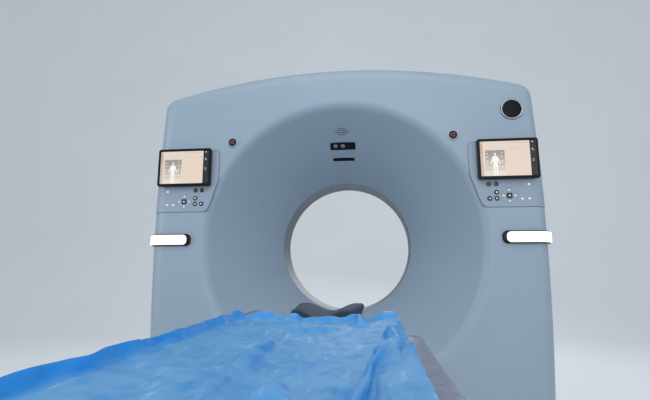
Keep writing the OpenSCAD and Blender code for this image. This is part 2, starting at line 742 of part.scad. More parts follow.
// Detector: a curved housing of modules that looks at the focal spot
module_n = 18;
module_share = 0.88;      // share of its pitch that a module fills
module_size = [13, 76];   // how far a module stands out, and its length along the bore
detector_case = [12, 70, 45];       // distance behind the modules' faces, depth, length before the plane
module detector_array() {
    step = 2 * detector_half_a / module_n;
    color([0.2, 0.3, 0.26]) translate([0, 0, iso_h + focus_r]) rotate([-90, 0, 0]) {
        translate([0, 0, -detector_case[2]]) rotate([0, 0, 90 - detector_half_a])
            rotate_extrude(angle = 2 * detector_half_a, $fn = 180)
                translate([detector_r + detector_case[0], 0]) square([detector_case[1], detector_case[2]
                    + disc_y]);
        for (i = [0:module_n - 1]) translate([0, 0, -module_size[1] / 2])
            rotate([0, 0, 90 - detector_half_a + (i + (1 - module_share) / 2) * step])
                rotate_extrude(angle = step * module_share, $fn = 180)
                    translate([detector_r, 0]) square(module_size);
    }
}
unit_w = 230;             // the generator and the heat exchanger stand at opposite sides
unit_h = 300;
unit_x = rotor_r - 35 - unit_w;
generator_front = 150;
fin_t = 12;
fin_n = 7;
fin_in = 20;              // distance of the fins' ends from the generator's edges
module generator() {
    color([0.75, 0.72, 0.6]) translate([-unit_x - unit_w, -generator_front, iso_h - unit_h / 2]) {
        cube([unit_w, generator_front + disc_y, unit_h]);
        for (i = [0:fin_n - 1]) translate([(i + 0.5) * unit_w / fin_n - fin_t / 2, -fin_t - eps, fin_in])
            cube([fin_t, fin_t + 2 * eps, unit_h - 2 * fin_in]);
    }
}
fan_r = 60;
fan_pitch = 144;
fan_hub_r = 22;
fan_d = 30;
vane_t = 6;
vane_low = 12;
vane_w = 10;
exchanger_front = 130;
module heat_exchanger() {
    color([0.5, 0.53, 0.56]) difference() {
        translate([unit_x, -exchanger_front, iso_h - unit_h / 2])
            cube([unit_w, exchanger_front + disc_y, unit_h]);
        for (z = [-1, 1]) translate([unit_x + unit_w / 2, -exchanger_front - eps, iso_h
            + z * fan_pitch / 2]) rotate([-90, 0, 0]) difference() {
            cylinder(r = fan_r, h = fan_d, $fn = 64);
            translate([0, 0, -eps]) cylinder(r = fan_hub_r, h = fan_d + 2 * eps, $fn = 48);
            for (a = [0:60:300]) rotate([0, 0, a]) translate([0, -vane_t / 2, vane_low])
                cube([fan_r + 5, vane_t, vane_w]);
        }
    }
}
slip_n = 5;
slip_pitch = (slip_r1 - slip_r0) / (slip_n + 0.5);
module slip_ring() {
    color([0.75, 0.6, 0.35]) difference() {
        ring(slip_r0, slip_r1, disc_back, disc_back + slip_t);
        for (i = [0:slip_n - 1]) ring(slip_r0 + (i + 0.5) * slip_pitch, slip_r0 + (i + 1) * slip_pitch,
            disc_back + slip_t - 3, disc_back + slip_t + eps);
    }
}
brush_w = 180;
module brush_block() {
    y0 = disc_back + slip_t + clear;
    color([0.2, 0.2, 0.22]) translate([-brush_w / 2, y0, iso_h + slip_r0])
        cube([brush_w, stator_y - y0, slip_r1 - slip_r0]);
}

// Drive: motor behind the frame, pulley before it, and a flat belt round the rotor's rim
motor_boss_r = 45;
motor_r = 95;
motor_l = 190;
motor_fin = [12, 6, 150];           // height, width and length of a cooling fin
motor_fin_turn = 30;
shaft_r = 14;
belt_t = 5;
pulley_y = disc_back + 3;
pulley_w = belt_w - 6;
module at_motor(y) {
    translate([-motor_x, y, iso_h - motor_drop]) rotate([-90, 0, 0]) children();
}
module drive_motor() {
    color([0.35, 0.37, 0.4]) {
        at_motor(stator_y + stator_t) cylinder(r = motor_r, h = motor_l, $fn = 96);
        at_motor(stator_y) cylinder(r = motor_boss_r, h = stator_t + eps, $fn = 64);
        at_motor(pulley_y) cylinder(r = shaft_r, h = stator_y - pulley_y + eps, $fn = 48);
        for (a = [0:motor_fin_turn:359]) at_motor(stator_y + stator_t + 20) rotate([0, 0, a])
            translate([motor_r - 2, -motor_fin[1] / 2, 0]) cube(motor_fin);
    }
}
module motor_pulley() {
    color(steel) at_motor(pulley_y) difference() {
        cylinder(r = pulley_r, h = pulley_w, $fn = 96);
        translate([0, 0, -eps]) cylinder(r = shaft_r + clear / 3, h = pulley_w + 2 * eps, $fn = 48);
    }
}
module belt_loop(g) {
    hull() {
        circle(r = belt_rim_r + g, $fn = 128);
        translate([-motor_x, motor_drop]) circle(r = pulley_r + g, $fn = 48);
    }
}
module drive_belt() {
    color(dark) on_axis(pulley_y) linear_extrude(pulley_w) difference() {
        belt_loop(belt_t);
        belt_loop(clear * 2);
    }
}

// Table. The cradle is a shell round the bore axis, cut off at its rim
cradle_y = face_y - cradle_gap;
table_y = face_y - table_gap;
rim_z = iso_h - rim_drop;
shoulder_z = iso_h - shoulder_drop;
body_low = shoulder_z - table_d;
module along_table(y_head, l) {
    translate([0, y_head, iso_h]) rotate([90, 0, 0]) linear_extrude(l) children();
}
module cradle() {
    color([0.86, 0.87, 0.88]) along_table(cradle_y, cradle_l) difference() {
        circle(r = cradle_r, $fn = 180);
        circle(r = cradle_r - cradle_t, $fn = 180);
        translate([-cradle_r - eps, -rim_drop]) square([2 * cradle_r + 2 * eps, 2 * cradle_r]);
    }
}
pad_r = cradle_r - cradle_t - clear;
pad_edge = 6;             // how far the pad's edge lies below the cradle's rim
pad_top = pad_r - pad_t;  // distance of the pad's middle below the bore axis
pad_half_w = sqrt(pad_r * pad_r - (rim_drop + pad_edge) * (rim_drop + pad_edge));
pad_dip = pad_top - rim_drop - pad_edge;
function pad_z(x) = -pad_top + pad_dip * pow(x / pad_half_w, 2);
pad_steps = 10;
module cradle_pad() {
    color([0.16, 0.17, 0.2]) along_table(cradle_y - holder_in - 4, pad_l) intersection() {
        circle(r = pad_r, $fn = 180);
        polygon(concat([for (i = [-pad_steps:pad_steps]) let (x = (pad_half_w + 8) * i / pad_steps)
            [x, pad_z(x)]], [[pad_half_w + 8, -pad_r - eps], [-pad_half_w - 8, -pad_r - eps]]));
    }
}

// Head holder: a saddle with two rounded lobes, whose foot lies in the cradle's head end
holder_half_w = 116;
holder_l = 330;
holder_in = 70;
holder_drop = rim_drop - 6;
holder_foot = 104;        // half width of the foot
lobe_r = 14;              // radius that rounds a lobe's outer edge
valley_d = 26;            // depth of the valley between the lobes
valley_half_w = 88;
end_r = 26;               // radius of the saddle's corners seen from above
saddle_steps = 8;
module head_holder() {
    valley = [for (i = [-saddle_steps:saddle_steps]) let (x = valley_half_w * i / saddle_steps)
        [x, -holder_drop - valley_d * pow(cos(90 * x / valley_half_w), 2)]];
    lobe = [for (i = [0:4]) let (a = 22.5 * i) [holder_half_w - lobe_r + lobe_r * sin(a),
        lobe_r * (cos(a) - 1) - holder_drop]];
    foot = [for (i = [saddle_steps:-1:-saddle_steps]) let (x = holder_foot * i / saddle_steps)
        [x, -sqrt(pad_r * pad_r - x * x) + clear / 2]];
    color([0.42, 0.44, 0.48]) intersection() {
        along_table(cradle_y + holder_l - holder_in, holder_l) polygon(concat(valley, lobe, foot,
            [for (i = [4:-1:0]) [-lobe[i][0], lobe[i][1]]]));
        translate([0, cradle_y + holder_l / 2 - holder_in, 0])
            rbox(2 * holder_half_w, holder_l, end_r, iso_h - cradle_r, iso_h);
    }
}

// Table body: a boat-like shell whose shoulders flank the cradle
shoulder_in = 222;
body_round = 16;
keel_round = 55;
plan_steps = 6;
keel_steps = 5;
function plan_outline(g) = let (w = table_half_w + g, r = plan_r + g, y0 = table_y + g, y1 = table_y
        - table_l - g, t = [for (i = [0:plan_steps]) 90 * i / plan_steps]) concat(
    [for (a = t) [w - r + r * cos(a), y0 - r + r * sin(a)]],
    [for (a = t) [r - w - r * sin(a), y0 - r + r * cos(a)]],
    [for (a = t) [r - w - r * cos(a), y1 + r - r * sin(a)]],
    [for (a = t) [w - r + r * sin(a), y1 + r - r * cos(a)]]);
// Section of the body: growth of the plan outline and height, from the keel to the shoulder
function body_rings(g) = concat(
    [for (i = [0:keel_steps]) let (a = 90 * i / keel_steps) [(keel_round + g) * sin(a) - keel_round,
        body_low + keel_round - (keel_round + g) * cos(a)]],
    [for (i = [0:keel_steps - 1]) let (a = 90 * i / (keel_steps - 1)) [(body_round + g) * cos(a)
        - body_round, shoulder_z - body_round + (body_round + g) * sin(a)]]);
module table_body(g) {
    rings = body_rings(g);
    m = len(rings);
    n = 4 * (plan_steps + 1);
    polyhedron([for (q = rings) for (p = plan_outline(q[0])) [p[0], p[1], q[1]]],
        concat([[for (i = [0:n - 1]) i]], [[for (i = [n - 1:-1:0]) (m - 1) * n + i]],
            [for (k = [0:m - 2]) for (i = [0:n - 1]) let (j = (i + 1) % n)
                [k * n + i, (k + 1) * n + i, (k + 1) * n + j, k * n + j]]));
}
channel_low = body_low + 50;
column_ys = [for (s = [-1, 1]) table_y - table_l / 2 + s * column_pitch / 2];
module at_columns() {
    for (y = column_ys) translate([0, y, 0]) children();
}
module table_shell() {
    color(white) difference() {
        table_body(0);
        table_body(-shell_wall);
        translate([-shoulder_in, table_y - table_l - eps, channel_low])
            cube([2 * shoulder_in, table_l + 2 * eps, table_d]);
        at_columns() translate([0, 0, body_low - eps]) cylinder(r = top_tube_r + 2, h = shell_wall
            + 2 * eps, $fn = 64);
    }
}

// Frame inside the table body: two beams, cross plates and the cradle's rollers
beam_x = 150;
beam_w = 50;
beam_low = body_low + shell_wall + clear;
beam_t = 44;
roller_r = 16;
roller_w = 20;
roller_x = 110;
roller_n = 6;
frame_l = table_l - 160;
roller_top = iso_h - sqrt(cradle_r * cradle_r - roller_x * roller_x) - clear;
module table_frame() {
    y_mid = table_y - table_l / 2;
    color(steel) {
        both_sides() translate([beam_x, y_mid - frame_l / 2, beam_low]) cube([beam_w, frame_l, beam_t]);
        for (y = concat(column_ys, [y_mid - frame_l / 2 + 60, y_mid + frame_l / 2 - 60]))
            translate([-beam_x - eps, y - 70, beam_low + 20]) cube([2 * beam_x + 2 * eps, 140, beam_t
                - 20]);
        both_sides() for (i = [0:roller_n - 1])
            translate([roller_x, y_mid + frame_l * (i / (roller_n - 1) - 0.5) * 0.94, 0]) {
                translate([0, 0, roller_top - roller_r]) rotate([0, 90, 0]) cylinder(r = roller_r,
                    h = roller_w, $fn = 48);
                translate([roller_w - eps, -12, beam_low + beam_t - 12])
                    cube([beam_x - roller_x - roller_w + 12, 24, roller_top - beam_low - beam_t + 4]);
            }
    }
}

// Lift: telescopic columns inside telescopic shrouds on a floor plate
plate_t = 20;
plate_half_w = 310;
plate_l = 1500;
plate_anchor_x = 260;
plate_anchor_y = 680;
plate_anchor_r = 7;
fixed_lap = 170;          // how far the middle tube stands in the fixed one
top_lap = 141;            // how far the top tube stands in the middle one
column_top = beam_low + 20;
tube_l = (column_top - plate_t + fixed_lap + top_lap) / 3;
mid_tube_r = column_r - column_wall - clear;
top_tube_r = mid_tube_r - column_wall - clear;
mid_low = plate_t + tube_l - fixed_lap;
shroud_gap = 3;
shroud_corner = 45;
upper_l = 245;            // height of the upper shroud
table_mid_y = table_y - table_l / 2;
module tube(r, z0, z1) {
    translate([0, 0, z0]) difference() {
        cylinder(r = r, h = z1 - z0, $fn = 96);
        translate([0, 0, -eps]) cylinder(r = r - column_wall, h = z1 - z0 + 2 * eps, $fn = 96);
    }
}
module table_base() {
    color(frame_blue) translate([0, table_mid_y, 0]) difference() {
        rbox(2 * plate_half_w, plate_l, 40, 0, plate_t);
        for (x = [-1, 1]) for (y = [-1, 1]) translate([x * plate_anchor_x, y * plate_anchor_y, -eps])
            cylinder(r = plate_anchor_r, h = plate_t + 2 * eps, $fn = 48);
    }
}
module lift_columns_fixed() {
    color(steel) at_columns() tube(column_r, plate_t, plate_t + tube_l);
}
module lift_columns_middle() {
    color(steel) at_columns() tube(mid_tube_r, mid_low, mid_low + tube_l);
}
module lift_columns_top() {
    color(steel) at_columns() tube(top_tube_r, column_top - tube_l, column_top);
}
module shroud(inset, z0, z1, deck) {
    w = 2 * (shroud_half_w - inset);
    l = shroud_l - 2 * inset;
    translate([0, table_mid_y, 0]) difference() {
        rbox(w, l, shroud_corner - inset, z0, z1);
        rbox(w - 2 * shroud_wall, l - 2 * shroud_wall, shroud_corner - inset - shroud_wall, z0 - eps,
            z1 - deck);
    }
}
module upper_shroud() {
    color(white) shroud(0, body_low - upper_l, body_low, -eps);
}
mid_inset = shroud_wall + shroud_gap;
deck_t = 6;
module middle_shroud() {
    color(pale) difference() {
        shroud(mid_inset, mid_low + 10, mid_low + tube_l - 4, deck_t);
        at_columns() translate([0, 0, mid_low]) cylinder(r = mid_tube_r + clear, h = 400, $fn = 96);
    }
}
module base_shroud() {
    color(pale) shroud(2 * mid_inset, plate_t, plate_t + tube_l, -eps);
}

// Drape on the pad: a thin sheet with long folds and a rolled left edge
drape_t = 3;
drape_nx = 22;
drape_ny = 34;
drape_y = cradle_y - drape_gap;
function bed_z(x) = abs(x) < pad_half_w ? pad_z(x) : -rim_drop;
function bed_soft(x) = max(bed_z(x), -rim_drop - pad_edge * max(0, (pad_half_w + 25 - abs(x)) / 25));
function fold(u, v) = fold_h * (0.35 * pow(sin(180 * (2.2 * u + 0.5 * v)), 2)
    + 0.25 * pow(sin(180 * (1.3 * u - 1.1 * v + 0.2)), 2) + 0.4 * exp(-pow((u - 0.05) / 0.05, 2)));
function drape_low(x, u, v) = max(bed_z(x), bed_soft(x)) + clear + fold(u, v);
module drape() {
    nx = drape_nx;
    ny = drape_ny;
    stride = nx + 1;
    low_n = stride * (ny + 1);
    pts = [for (k = [0, 1]) for (j = [0:ny]) for (i = [0:nx]) let (u = i / nx, v = j / ny,
        x = drape_half_w * (2 * u - 1) * (0.93 + 0.07 * min(1, 6 * v)))
        [x, drape_y - drape_l * v + 12 * sin(700 * u) * (1 - v), iso_h + drape_low(x, u, v) + k * drape_t]];
    border = concat([for (i = [0:nx - 1]) [i, i + 1]],
        [for (j = [0:ny - 1]) [j * stride + nx, (j + 1) * stride + nx]],
        [for (i = [nx:-1:1]) [ny * stride + i, ny * stride + i - 1]],
        [for (j = [ny:-1:1]) [j * stride, (j - 1) * stride]]);
    color([0.35, 0.62, 0.88]) polyhedron(pts, concat(
        [for (j = [0:ny - 1]) for (i = [0:nx - 1]) let (a = j * stride + i)
            [a + stride, a + stride + 1, a + 1, a]],
        [for (j = [0:ny - 1]) for (i = [0:nx - 1]) let (a = low_n + j * stride + i)
            [a, a + 1, a + stride + 1, a + stride]],
        [for (e = border) [e[0], e[1], low_n + e[1], low_n + e[0]]]));
}

// Clear film over the table's shoulders, joined round the head end
film_t = 1.5;
film_low = body_low + 40;
module clear_cover() {
    color([0.85, 0.85, 0.9, 0.5]) difference() {
        table_body(film_t + clear);
        table_body(clear);
        translate([-table_half_w - 20, table_y - table_l - 20, 0])
            cube([2 * table_half_w + 40, table_l + 60, film_low]);
        translate([-table_half_w - 20, table_y - table_l - 20, 0])
            cube([2 * table_half_w + 40, table_l + 20 - film_l, iso_h]);
        translate([-shoulder_in, table_y - table_l, channel_low])
            cube([2 * shoulder_in, table_l + 40, table_d]);
    }
}

base_frame();
stator_frame();
bearing_race();
bearing_balls();
rotor_drum();
xray_tube();
tube_collimator();
detector_array();
generator();
heat_exchanger();
slip_ring();
brush_block();
drive_motor();
motor_pulley();
drive_belt();
front_cover();
rear_cover();
top_cover();
side_cover(-1);  // side_cover_left
side_cover(1);  // side_cover_right
scan_window();
throat_gaskets();
laser_ports();
tablet_cases();
tablet_screens();
control_panels();
light_bar_housings();
light_bar_lenses();
badge();
camera_window();
display_slot();
estop_bezels();
estop(-1);  // estop_left
estop(1);  // estop_right
round_key(green_keys[0], -1, green);  // green_key_left_1
round_key(green_keys[1], -1, green);  // green_key_left_2
round_key(ring_keys[0], -1, dark);  // ring_key_left_1
round_key(ring_keys[1], -1, dark);  // ring_key_left_2
round_key(ring_keys[2], -1, dark);  // ring_key_left_3
nav_button(-1);  // nav_key_left
round_key(green_keys[0], 1, green);  // green_key_right_1
round_key(green_keys[1], 1, green);  // green_key_right_2
round_key(ring_keys[0], 1, dark);  // ring_key_right_1
round_key(ring_keys[1], 1, dark);  // ring_key_right_2
round_key(ring_keys[2], 1, dark);  // ring_key_right_3
nav_button(1);  // nav_key_right
table_base();
base_shroud();
middle_shroud();
upper_shroud();
lift_columns_fixed();
lift_columns_middle();
lift_columns_top();
table_frame();
table_shell();
cradle();
cradle_pad();
head_holder();
drape();
clear_cover();
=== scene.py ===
import json
import math
import bmesh
import bpy
import numpy as np
from mathutils import Matrix, Vector

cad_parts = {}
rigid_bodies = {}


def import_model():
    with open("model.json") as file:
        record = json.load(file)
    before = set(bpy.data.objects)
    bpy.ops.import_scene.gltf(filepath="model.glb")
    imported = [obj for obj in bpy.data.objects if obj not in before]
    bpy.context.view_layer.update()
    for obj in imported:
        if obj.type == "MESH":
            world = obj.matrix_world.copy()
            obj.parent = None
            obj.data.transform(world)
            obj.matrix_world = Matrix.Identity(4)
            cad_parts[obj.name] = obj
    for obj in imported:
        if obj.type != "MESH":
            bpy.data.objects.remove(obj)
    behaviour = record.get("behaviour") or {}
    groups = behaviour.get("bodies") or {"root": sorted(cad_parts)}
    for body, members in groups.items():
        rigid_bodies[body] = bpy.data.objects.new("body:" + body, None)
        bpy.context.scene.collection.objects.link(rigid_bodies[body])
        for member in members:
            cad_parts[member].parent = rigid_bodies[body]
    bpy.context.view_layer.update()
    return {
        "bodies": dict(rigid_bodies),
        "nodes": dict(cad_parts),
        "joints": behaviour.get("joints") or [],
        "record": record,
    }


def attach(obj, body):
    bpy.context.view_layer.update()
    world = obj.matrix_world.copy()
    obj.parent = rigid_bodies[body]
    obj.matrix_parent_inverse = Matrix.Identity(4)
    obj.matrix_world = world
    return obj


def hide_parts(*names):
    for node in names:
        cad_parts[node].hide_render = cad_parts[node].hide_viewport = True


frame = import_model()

print("frame loaded")

# Camera: it stands before the foot of the table and looks up a little at the gantry
view = {"place": (0.1584, -2.525, 0.865), "tiltUp": 0.167, "turnLeft": 0.1135,
        "lens": 24.35, "sensor": 36.0}
cameraData = bpy.data.cameras.new("camera")
cameraData.lens = view["lens"]
cameraData.sensor_width = view["sensor"]
cameraData.clip_start = 0.02
camera = bpy.data.objects.new("camera", cameraData)
camera.location = view["place"]
camera.rotation_euler = (math.pi / 2 + view["tiltUp"], 0, view["turnLeft"])
bpy.context.scene.collection.objects.link(camera)
bpy.context.scene.camera = camera


# One socket of a node tree, so that shader maths reads as plain sums and products
class Wire:
    def __init__(self, tree, socket):
        self.tree = tree
        self.socket = socket

    def join(self, operation, first, second=0.0):
        node = self.tree.nodes.new("ShaderNodeMath")
        node.operation = operation
        for slot, value in zip(node.inputs, (first, second)):
            if isinstance(value, Wire):
                self.tree.links.new(value.socket, slot)
            else:
                slot.default_value = value
        return Wire(self.tree, node.outputs[0])

    def __add__(self, other):
        return self.join("ADD", self, other)

    def __sub__(self, other):
        return self.join("SUBTRACT", self, other)

    def __rsub__(self, other):
        return self.join("SUBTRACT", other, self)

    def __mul__(self, other):
        return self.join("MULTIPLY", self, other)

    def clip(self):
        return self.join("MINIMUM", self.join("MAXIMUM", self, 0.0), 1.0)

    __radd__ = __add__
    __rmul__ = __mul__


# A material under construction: add() makes any node and gives back its outputs as wires
class Finish:
    def __init__(self, name):
        self.material = bpy.data.materials.new(name)
        self.material.use_nodes = True
        self.tree = self.material.node_tree
        self.tree.nodes.clear()
        self.surface = self.tree.nodes.new("ShaderNodeOutputMaterial").inputs["Surface"]

    def add(self, kind, settings=None, sockets=None, output=0):
        node = self.tree.nodes.new("ShaderNode" + kind)
        for key, value in (settings or {}).items():
            setattr(node, key, value)
        for key, value in (sockets or {}).items():
            if isinstance(value, Wire):
                self.tree.links.new(value.socket, node.inputs[key])
            else:
                node.inputs[key].default_value = value
        return Wire(self.tree, node.outputs[output])

    def place(self, scale=(1, 1, 1)):
        coords = self.add("TexCoord", output="Object")
        return self.add("Mapping", {}, {"Vector": coords, "Scale": scale})

    def noise(self, scale, detail=3.0, stretch=(1, 1, 1), rough=0.5):
        return self.add("TexNoise", {"noise_dimensions": "3D"}, {
            "Vector": self.place(stretch), "Scale": scale, "Detail": detail, "Roughness": rough})

    def mix(self, factor, first, second):
        return self.add("Mix", {"data_type": "RGBA"}, {0: factor, 6: first, 7: second}, output=2)

    def bump(self, height, depth, strength=1.0, below=None):
        sockets = {"Height": height, "Distance": depth, "Strength": strength}
        if below:
            sockets["Normal"] = below
        return self.add("Bump", {}, sockets)

    def close(self, sockets):
        shader = self.add("BsdfPrincipled", {}, sockets)
        self.tree.links.new(shader.socket, self.surface)
        return self.material


# sRGB values from 0 to 255 as the linear colour that a socket takes
def tint(red, green, blue):
    srgb = np.array([red, green, blue]) / 255
    linear = np.where(srgb <= 0.04045, srgb / 12.92, ((srgb + 0.055) / 1.055) ** 2.4)
    return (*linear.tolist(), 1.0)


# A surface with cloudy tone, varied gloss and a fine grain; what most pieces wear
def solidFinish(name, colour, gloss, vary, cloud, grain, depth, coat=0.0, swell=None, specular=0.5):
    f = Finish(name)
    dark = tint(*[c * (1 - vary) for c in colour])
    light = tint(*[min(255, c * (1 + vary)) for c in colour])
    clouds = f.noise(cloud, 4.0)
    specks = f.noise(grain, 2.0)
    tone = (clouds * 0.75 + specks * 0.25 - 0.25) * 2.0
    normal = f.bump(specks, depth)
    if swell:
        normal = f.bump(f.noise(swell[0], 1.0), swell[1], below=normal)
    return f.close({
        "Base Color": f.mix(tone.clip(), dark, light),
        "Roughness": (clouds * 0.08 + gloss - 0.04).clip(),
        "Normal": normal, "Coat Weight": coat, "Coat Roughness": 0.12,
        "Specular IOR Level": specular})


# Metal whose fine lines run along one direction, with a few longer scratches
def turnedMetal(name, colour, gloss, along=(1, 1, 1)):
    f = Finish(name)
    lines = f.noise(140.0, 3.0, along)
    scratches = f.noise(30.0, 5.0, along, 0.7)
    tone = (lines * 0.6 + scratches * 0.4 - 0.3) * 1.8
    return f.close({
        "Base Color": f.mix(tone.clip(), tint(*[c * 0.86 for c in colour]), tint(*colour)),
        "Roughness": (lines * 0.2 + gloss - 0.1).clip(), "Metallic": 1.0,
        "Normal": f.bump(lines, 0.00005)})


# A surface that shines by itself
def lampFinish(name, colour, strength):
    f = Finish(name)
    clouds = f.noise(30.0, 2.0)
    shade = f.mix(clouds, tint(*[c * 0.95 for c in colour]), tint(*colour))
    return f.close({"Base Color": tint(*[c * 0.3 for c in colour]), "Roughness": 0.35,
                    "Emission Color": shade,
                    "Emission Strength": strength, "Normal": f.bump(clouds, 0.00003)})


# Mesh of quads between rings of points, each ring an (n, 3) array. Two neighbouring rings of n
# points are joined all round when closed holds, and open ones over their shared count
def ringMesh(name, rings, closed=True, capFirst=False, capLast=False, flip=False, cycle=False):
    counts = [len(ring) for ring in rings]
    starts = np.concatenate([[0], np.cumsum(counts)[:-1]])
    full = max(counts)
    faces = []
    order = list(range(len(rings))) + ([0] if cycle else [])
    for k, j in zip(order[:-1], order[1:]):
        shared = min(counts[k], counts[j])
        a = np.arange(shared)
        b = (a + 1) % shared
        if not closed or shared < full:
            a, b = a[:-1], b[:-1]
        quads = np.stack([starts[k] + a, starts[k] + b, starts[j] + b, starts[j] + a], axis=1)
        faces += (quads[:, ::-1] if flip else quads).tolist()
    for wanted, k, turned in ((capFirst, 0, not flip), (capLast, len(rings) - 1, flip)):
        if wanted:
            cap = (starts[k] + np.arange(counts[k])).tolist()
            faces.append(cap[::-1] if turned else cap)
    mesh = bpy.data.meshes.new(name)
    mesh.from_pydata(np.concatenate(rings).tolist(), [], faces)
    return mesh


# Merged points and outward faces for a closed mesh
def tidied(mesh, recalc=True):
    bm = bmesh.new()
    bm.from_mesh(mesh)
    bmesh.ops.remove_doubles(bm, verts=bm.verts, dist=0.00001)
    if recalc:
        bmesh.ops.recalc_face_normals(bm, faces=bm.faces)
    bm.to_mesh(mesh)
    bm.free()
    return mesh


# Several meshes in one
def joined(name, meshes):
    bm = bmesh.new()
    for mesh in meshes:
        bm.from_mesh(mesh)
    whole = bpy.data.meshes.new(name)
    bm.to_mesh(whole)
    bm.free()
    return whole


# A copy turned over the plane between left and right, with its faces outwards again
def mirrored(mesh):
    twin = mesh.copy()
    twin.transform(Matrix.Scale(-1, 4, (1, 0, 0)))
    twin.flip_normals()
    return twin


# Right and left with the sign of X. A mesh is made for the right and turned over for the left
sides = ((1, "right"), (-1, "left"))


def sided(mesh, side):
    return mirrored(mesh) if side < 0 else mesh


def addModifier(piece, kind, **settings):
    modifier = piece.modifiers.new(kind.lower(), kind)
    for key, value in settings.items():
        setattr(modifier, key, value)
    return modifier


# Puts the result of a piece's modifiers into its mesh
def settle(piece):
    graph = bpy.context.evaluated_depsgraph_get()
    done = bpy.data.meshes.new_from_object(piece.evaluated_get(graph))
    piece.modifiers.clear()
    piece.data = done
    return piece


def looseObject(name, mesh):
    piece = bpy.data.objects.new(name, mesh)
    bpy.context.scene.collection.objects.link(piece)
    return piece


# A finished piece of the part: materials, the solids that it stands for, body and shading
def addPiece(name, mesh, materials, replaces=(), body="gantry", wall=0.0, bevel=0.0,
             cut=None, angle=35, even=True):
    piece = looseObject(name, mesh)
    for material in materials if isinstance(materials, (list, tuple)) else [materials]:
        piece.data.materials.append(material)
    if wall:
        addModifier(piece, "SOLIDIFY", thickness=wall, offset=-1.0, use_even_offset=even)
    if cut:
        addModifier(piece, "BOOLEAN", operation="DIFFERENCE", object=cut, solver="EXACT")
    if bevel:
        addModifier(piece, "BEVEL", width=bevel, segments=2, limit_method="ANGLE",
                    angle_limit=math.radians(50))
    if piece.modifiers:
        settle(piece)
    if cut:
        bpy.data.objects.remove(cut)
    piece.data.shade_smooth()
    piece.data.set_sharp_from_angle(angle=math.radians(angle))
    if replaces:
        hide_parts(*replaces)
    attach(piece, body)
    return piece


# Gantry covers, in metres; heights are over the axis of the bore
gantry = {
    "halfWidth": 0.926, "crown": 0.858, "axis": 1.015, "depth": 1.024, "sideRadius": 11.0,
    "crownRadius": 3.18, "shoulder": 0.055, "edge": 0.075, "wall": 0.005, "coverDepth": 0.190,
    "reveal": 0.004, "floorGap": 0.025, "bulge": 0.020, "split": 0.560, "bore": 0.350,
    "throat": 0.094, "frontFlare": 0.654, "rearFlare": 0.560, "rim": 0.060,
    "sidePoints": 44, "cornerPoints": 14, "topPoints": 30, "lowPoints": 60, "arcPoints": 10}
faceY = -gantry["depth"] / 2
axisZ = gantry["axis"]
lowZ = gantry["floorGap"] - axisZ


# Half width at a height: it falls by the height squared over twice the side radius
def sideX(z, g):
    return gantry["halfWidth"] + g - z * z / (2 * gantry["sideRadius"])


# Height of the crown at a half width, which falls in the same way
def topZ(x, g):
    return gantry["crown"] + g - x * x / (2 * gantry["crownRadius"])


# Outline grown by g, from the lowest point at the right over the top to the left: a parabola up
# the side, a quadratic curve round the shoulder and a parabola along the top
def outline(g, start=None):
    start = lowZ if start is None else start
    cornerZ = topZ(sideX(gantry["crown"], g), g)
    cornerX = sideX(cornerZ, g)
    z1 = cornerZ - gantry["shoulder"]
    x2 = cornerX - gantry["shoulder"]
    z = np.linspace(start, z1, gantry["sidePoints"], endpoint=False)
    t = np.linspace(0, 1, gantry["cornerPoints"])[:, None]
    a, b, c = np.array([[sideX(z1, g), z1], [cornerX, cornerZ], [x2, topZ(x2, g)]])
    x = np.linspace(x2, 0, gantry["topPoints"])[1:]
    half = np.vstack([
        np.column_stack([sideX(z, g), z]),
        (1 - t) ** 2 * a + 2 * t * (1 - t) * b + t ** 2 * c,
        np.column_stack([x, topZ(x, g)])])
    return np.vstack([half, half[-2::-1] * [-1, 1]])


# The outline with its lower edge, which closes it from the left foot back to the right one
def closedOutline(g):
    path = outline(g)
    x = np.linspace(path[-1, 0], path[0, 0], gantry["lowPoints"] + 2)[1:-1]
    return np.vstack([path, np.column_stack([x, np.full(len(x), lowZ)])])


def quarterTurn(count):
    return np.linspace(0, math.pi / 2, count)


# Paths of points in space: across the bore's axis, and level at a height
def alongY(path, y):
    return np.column_stack([path[:, 0], np.full(len(path), y), path[:, 1]])


def atDepth(path, y):
    return alongY(path + [0, axisZ], y)


def level(path, z):
    return np.column_stack([path, np.full(len(path), z)])


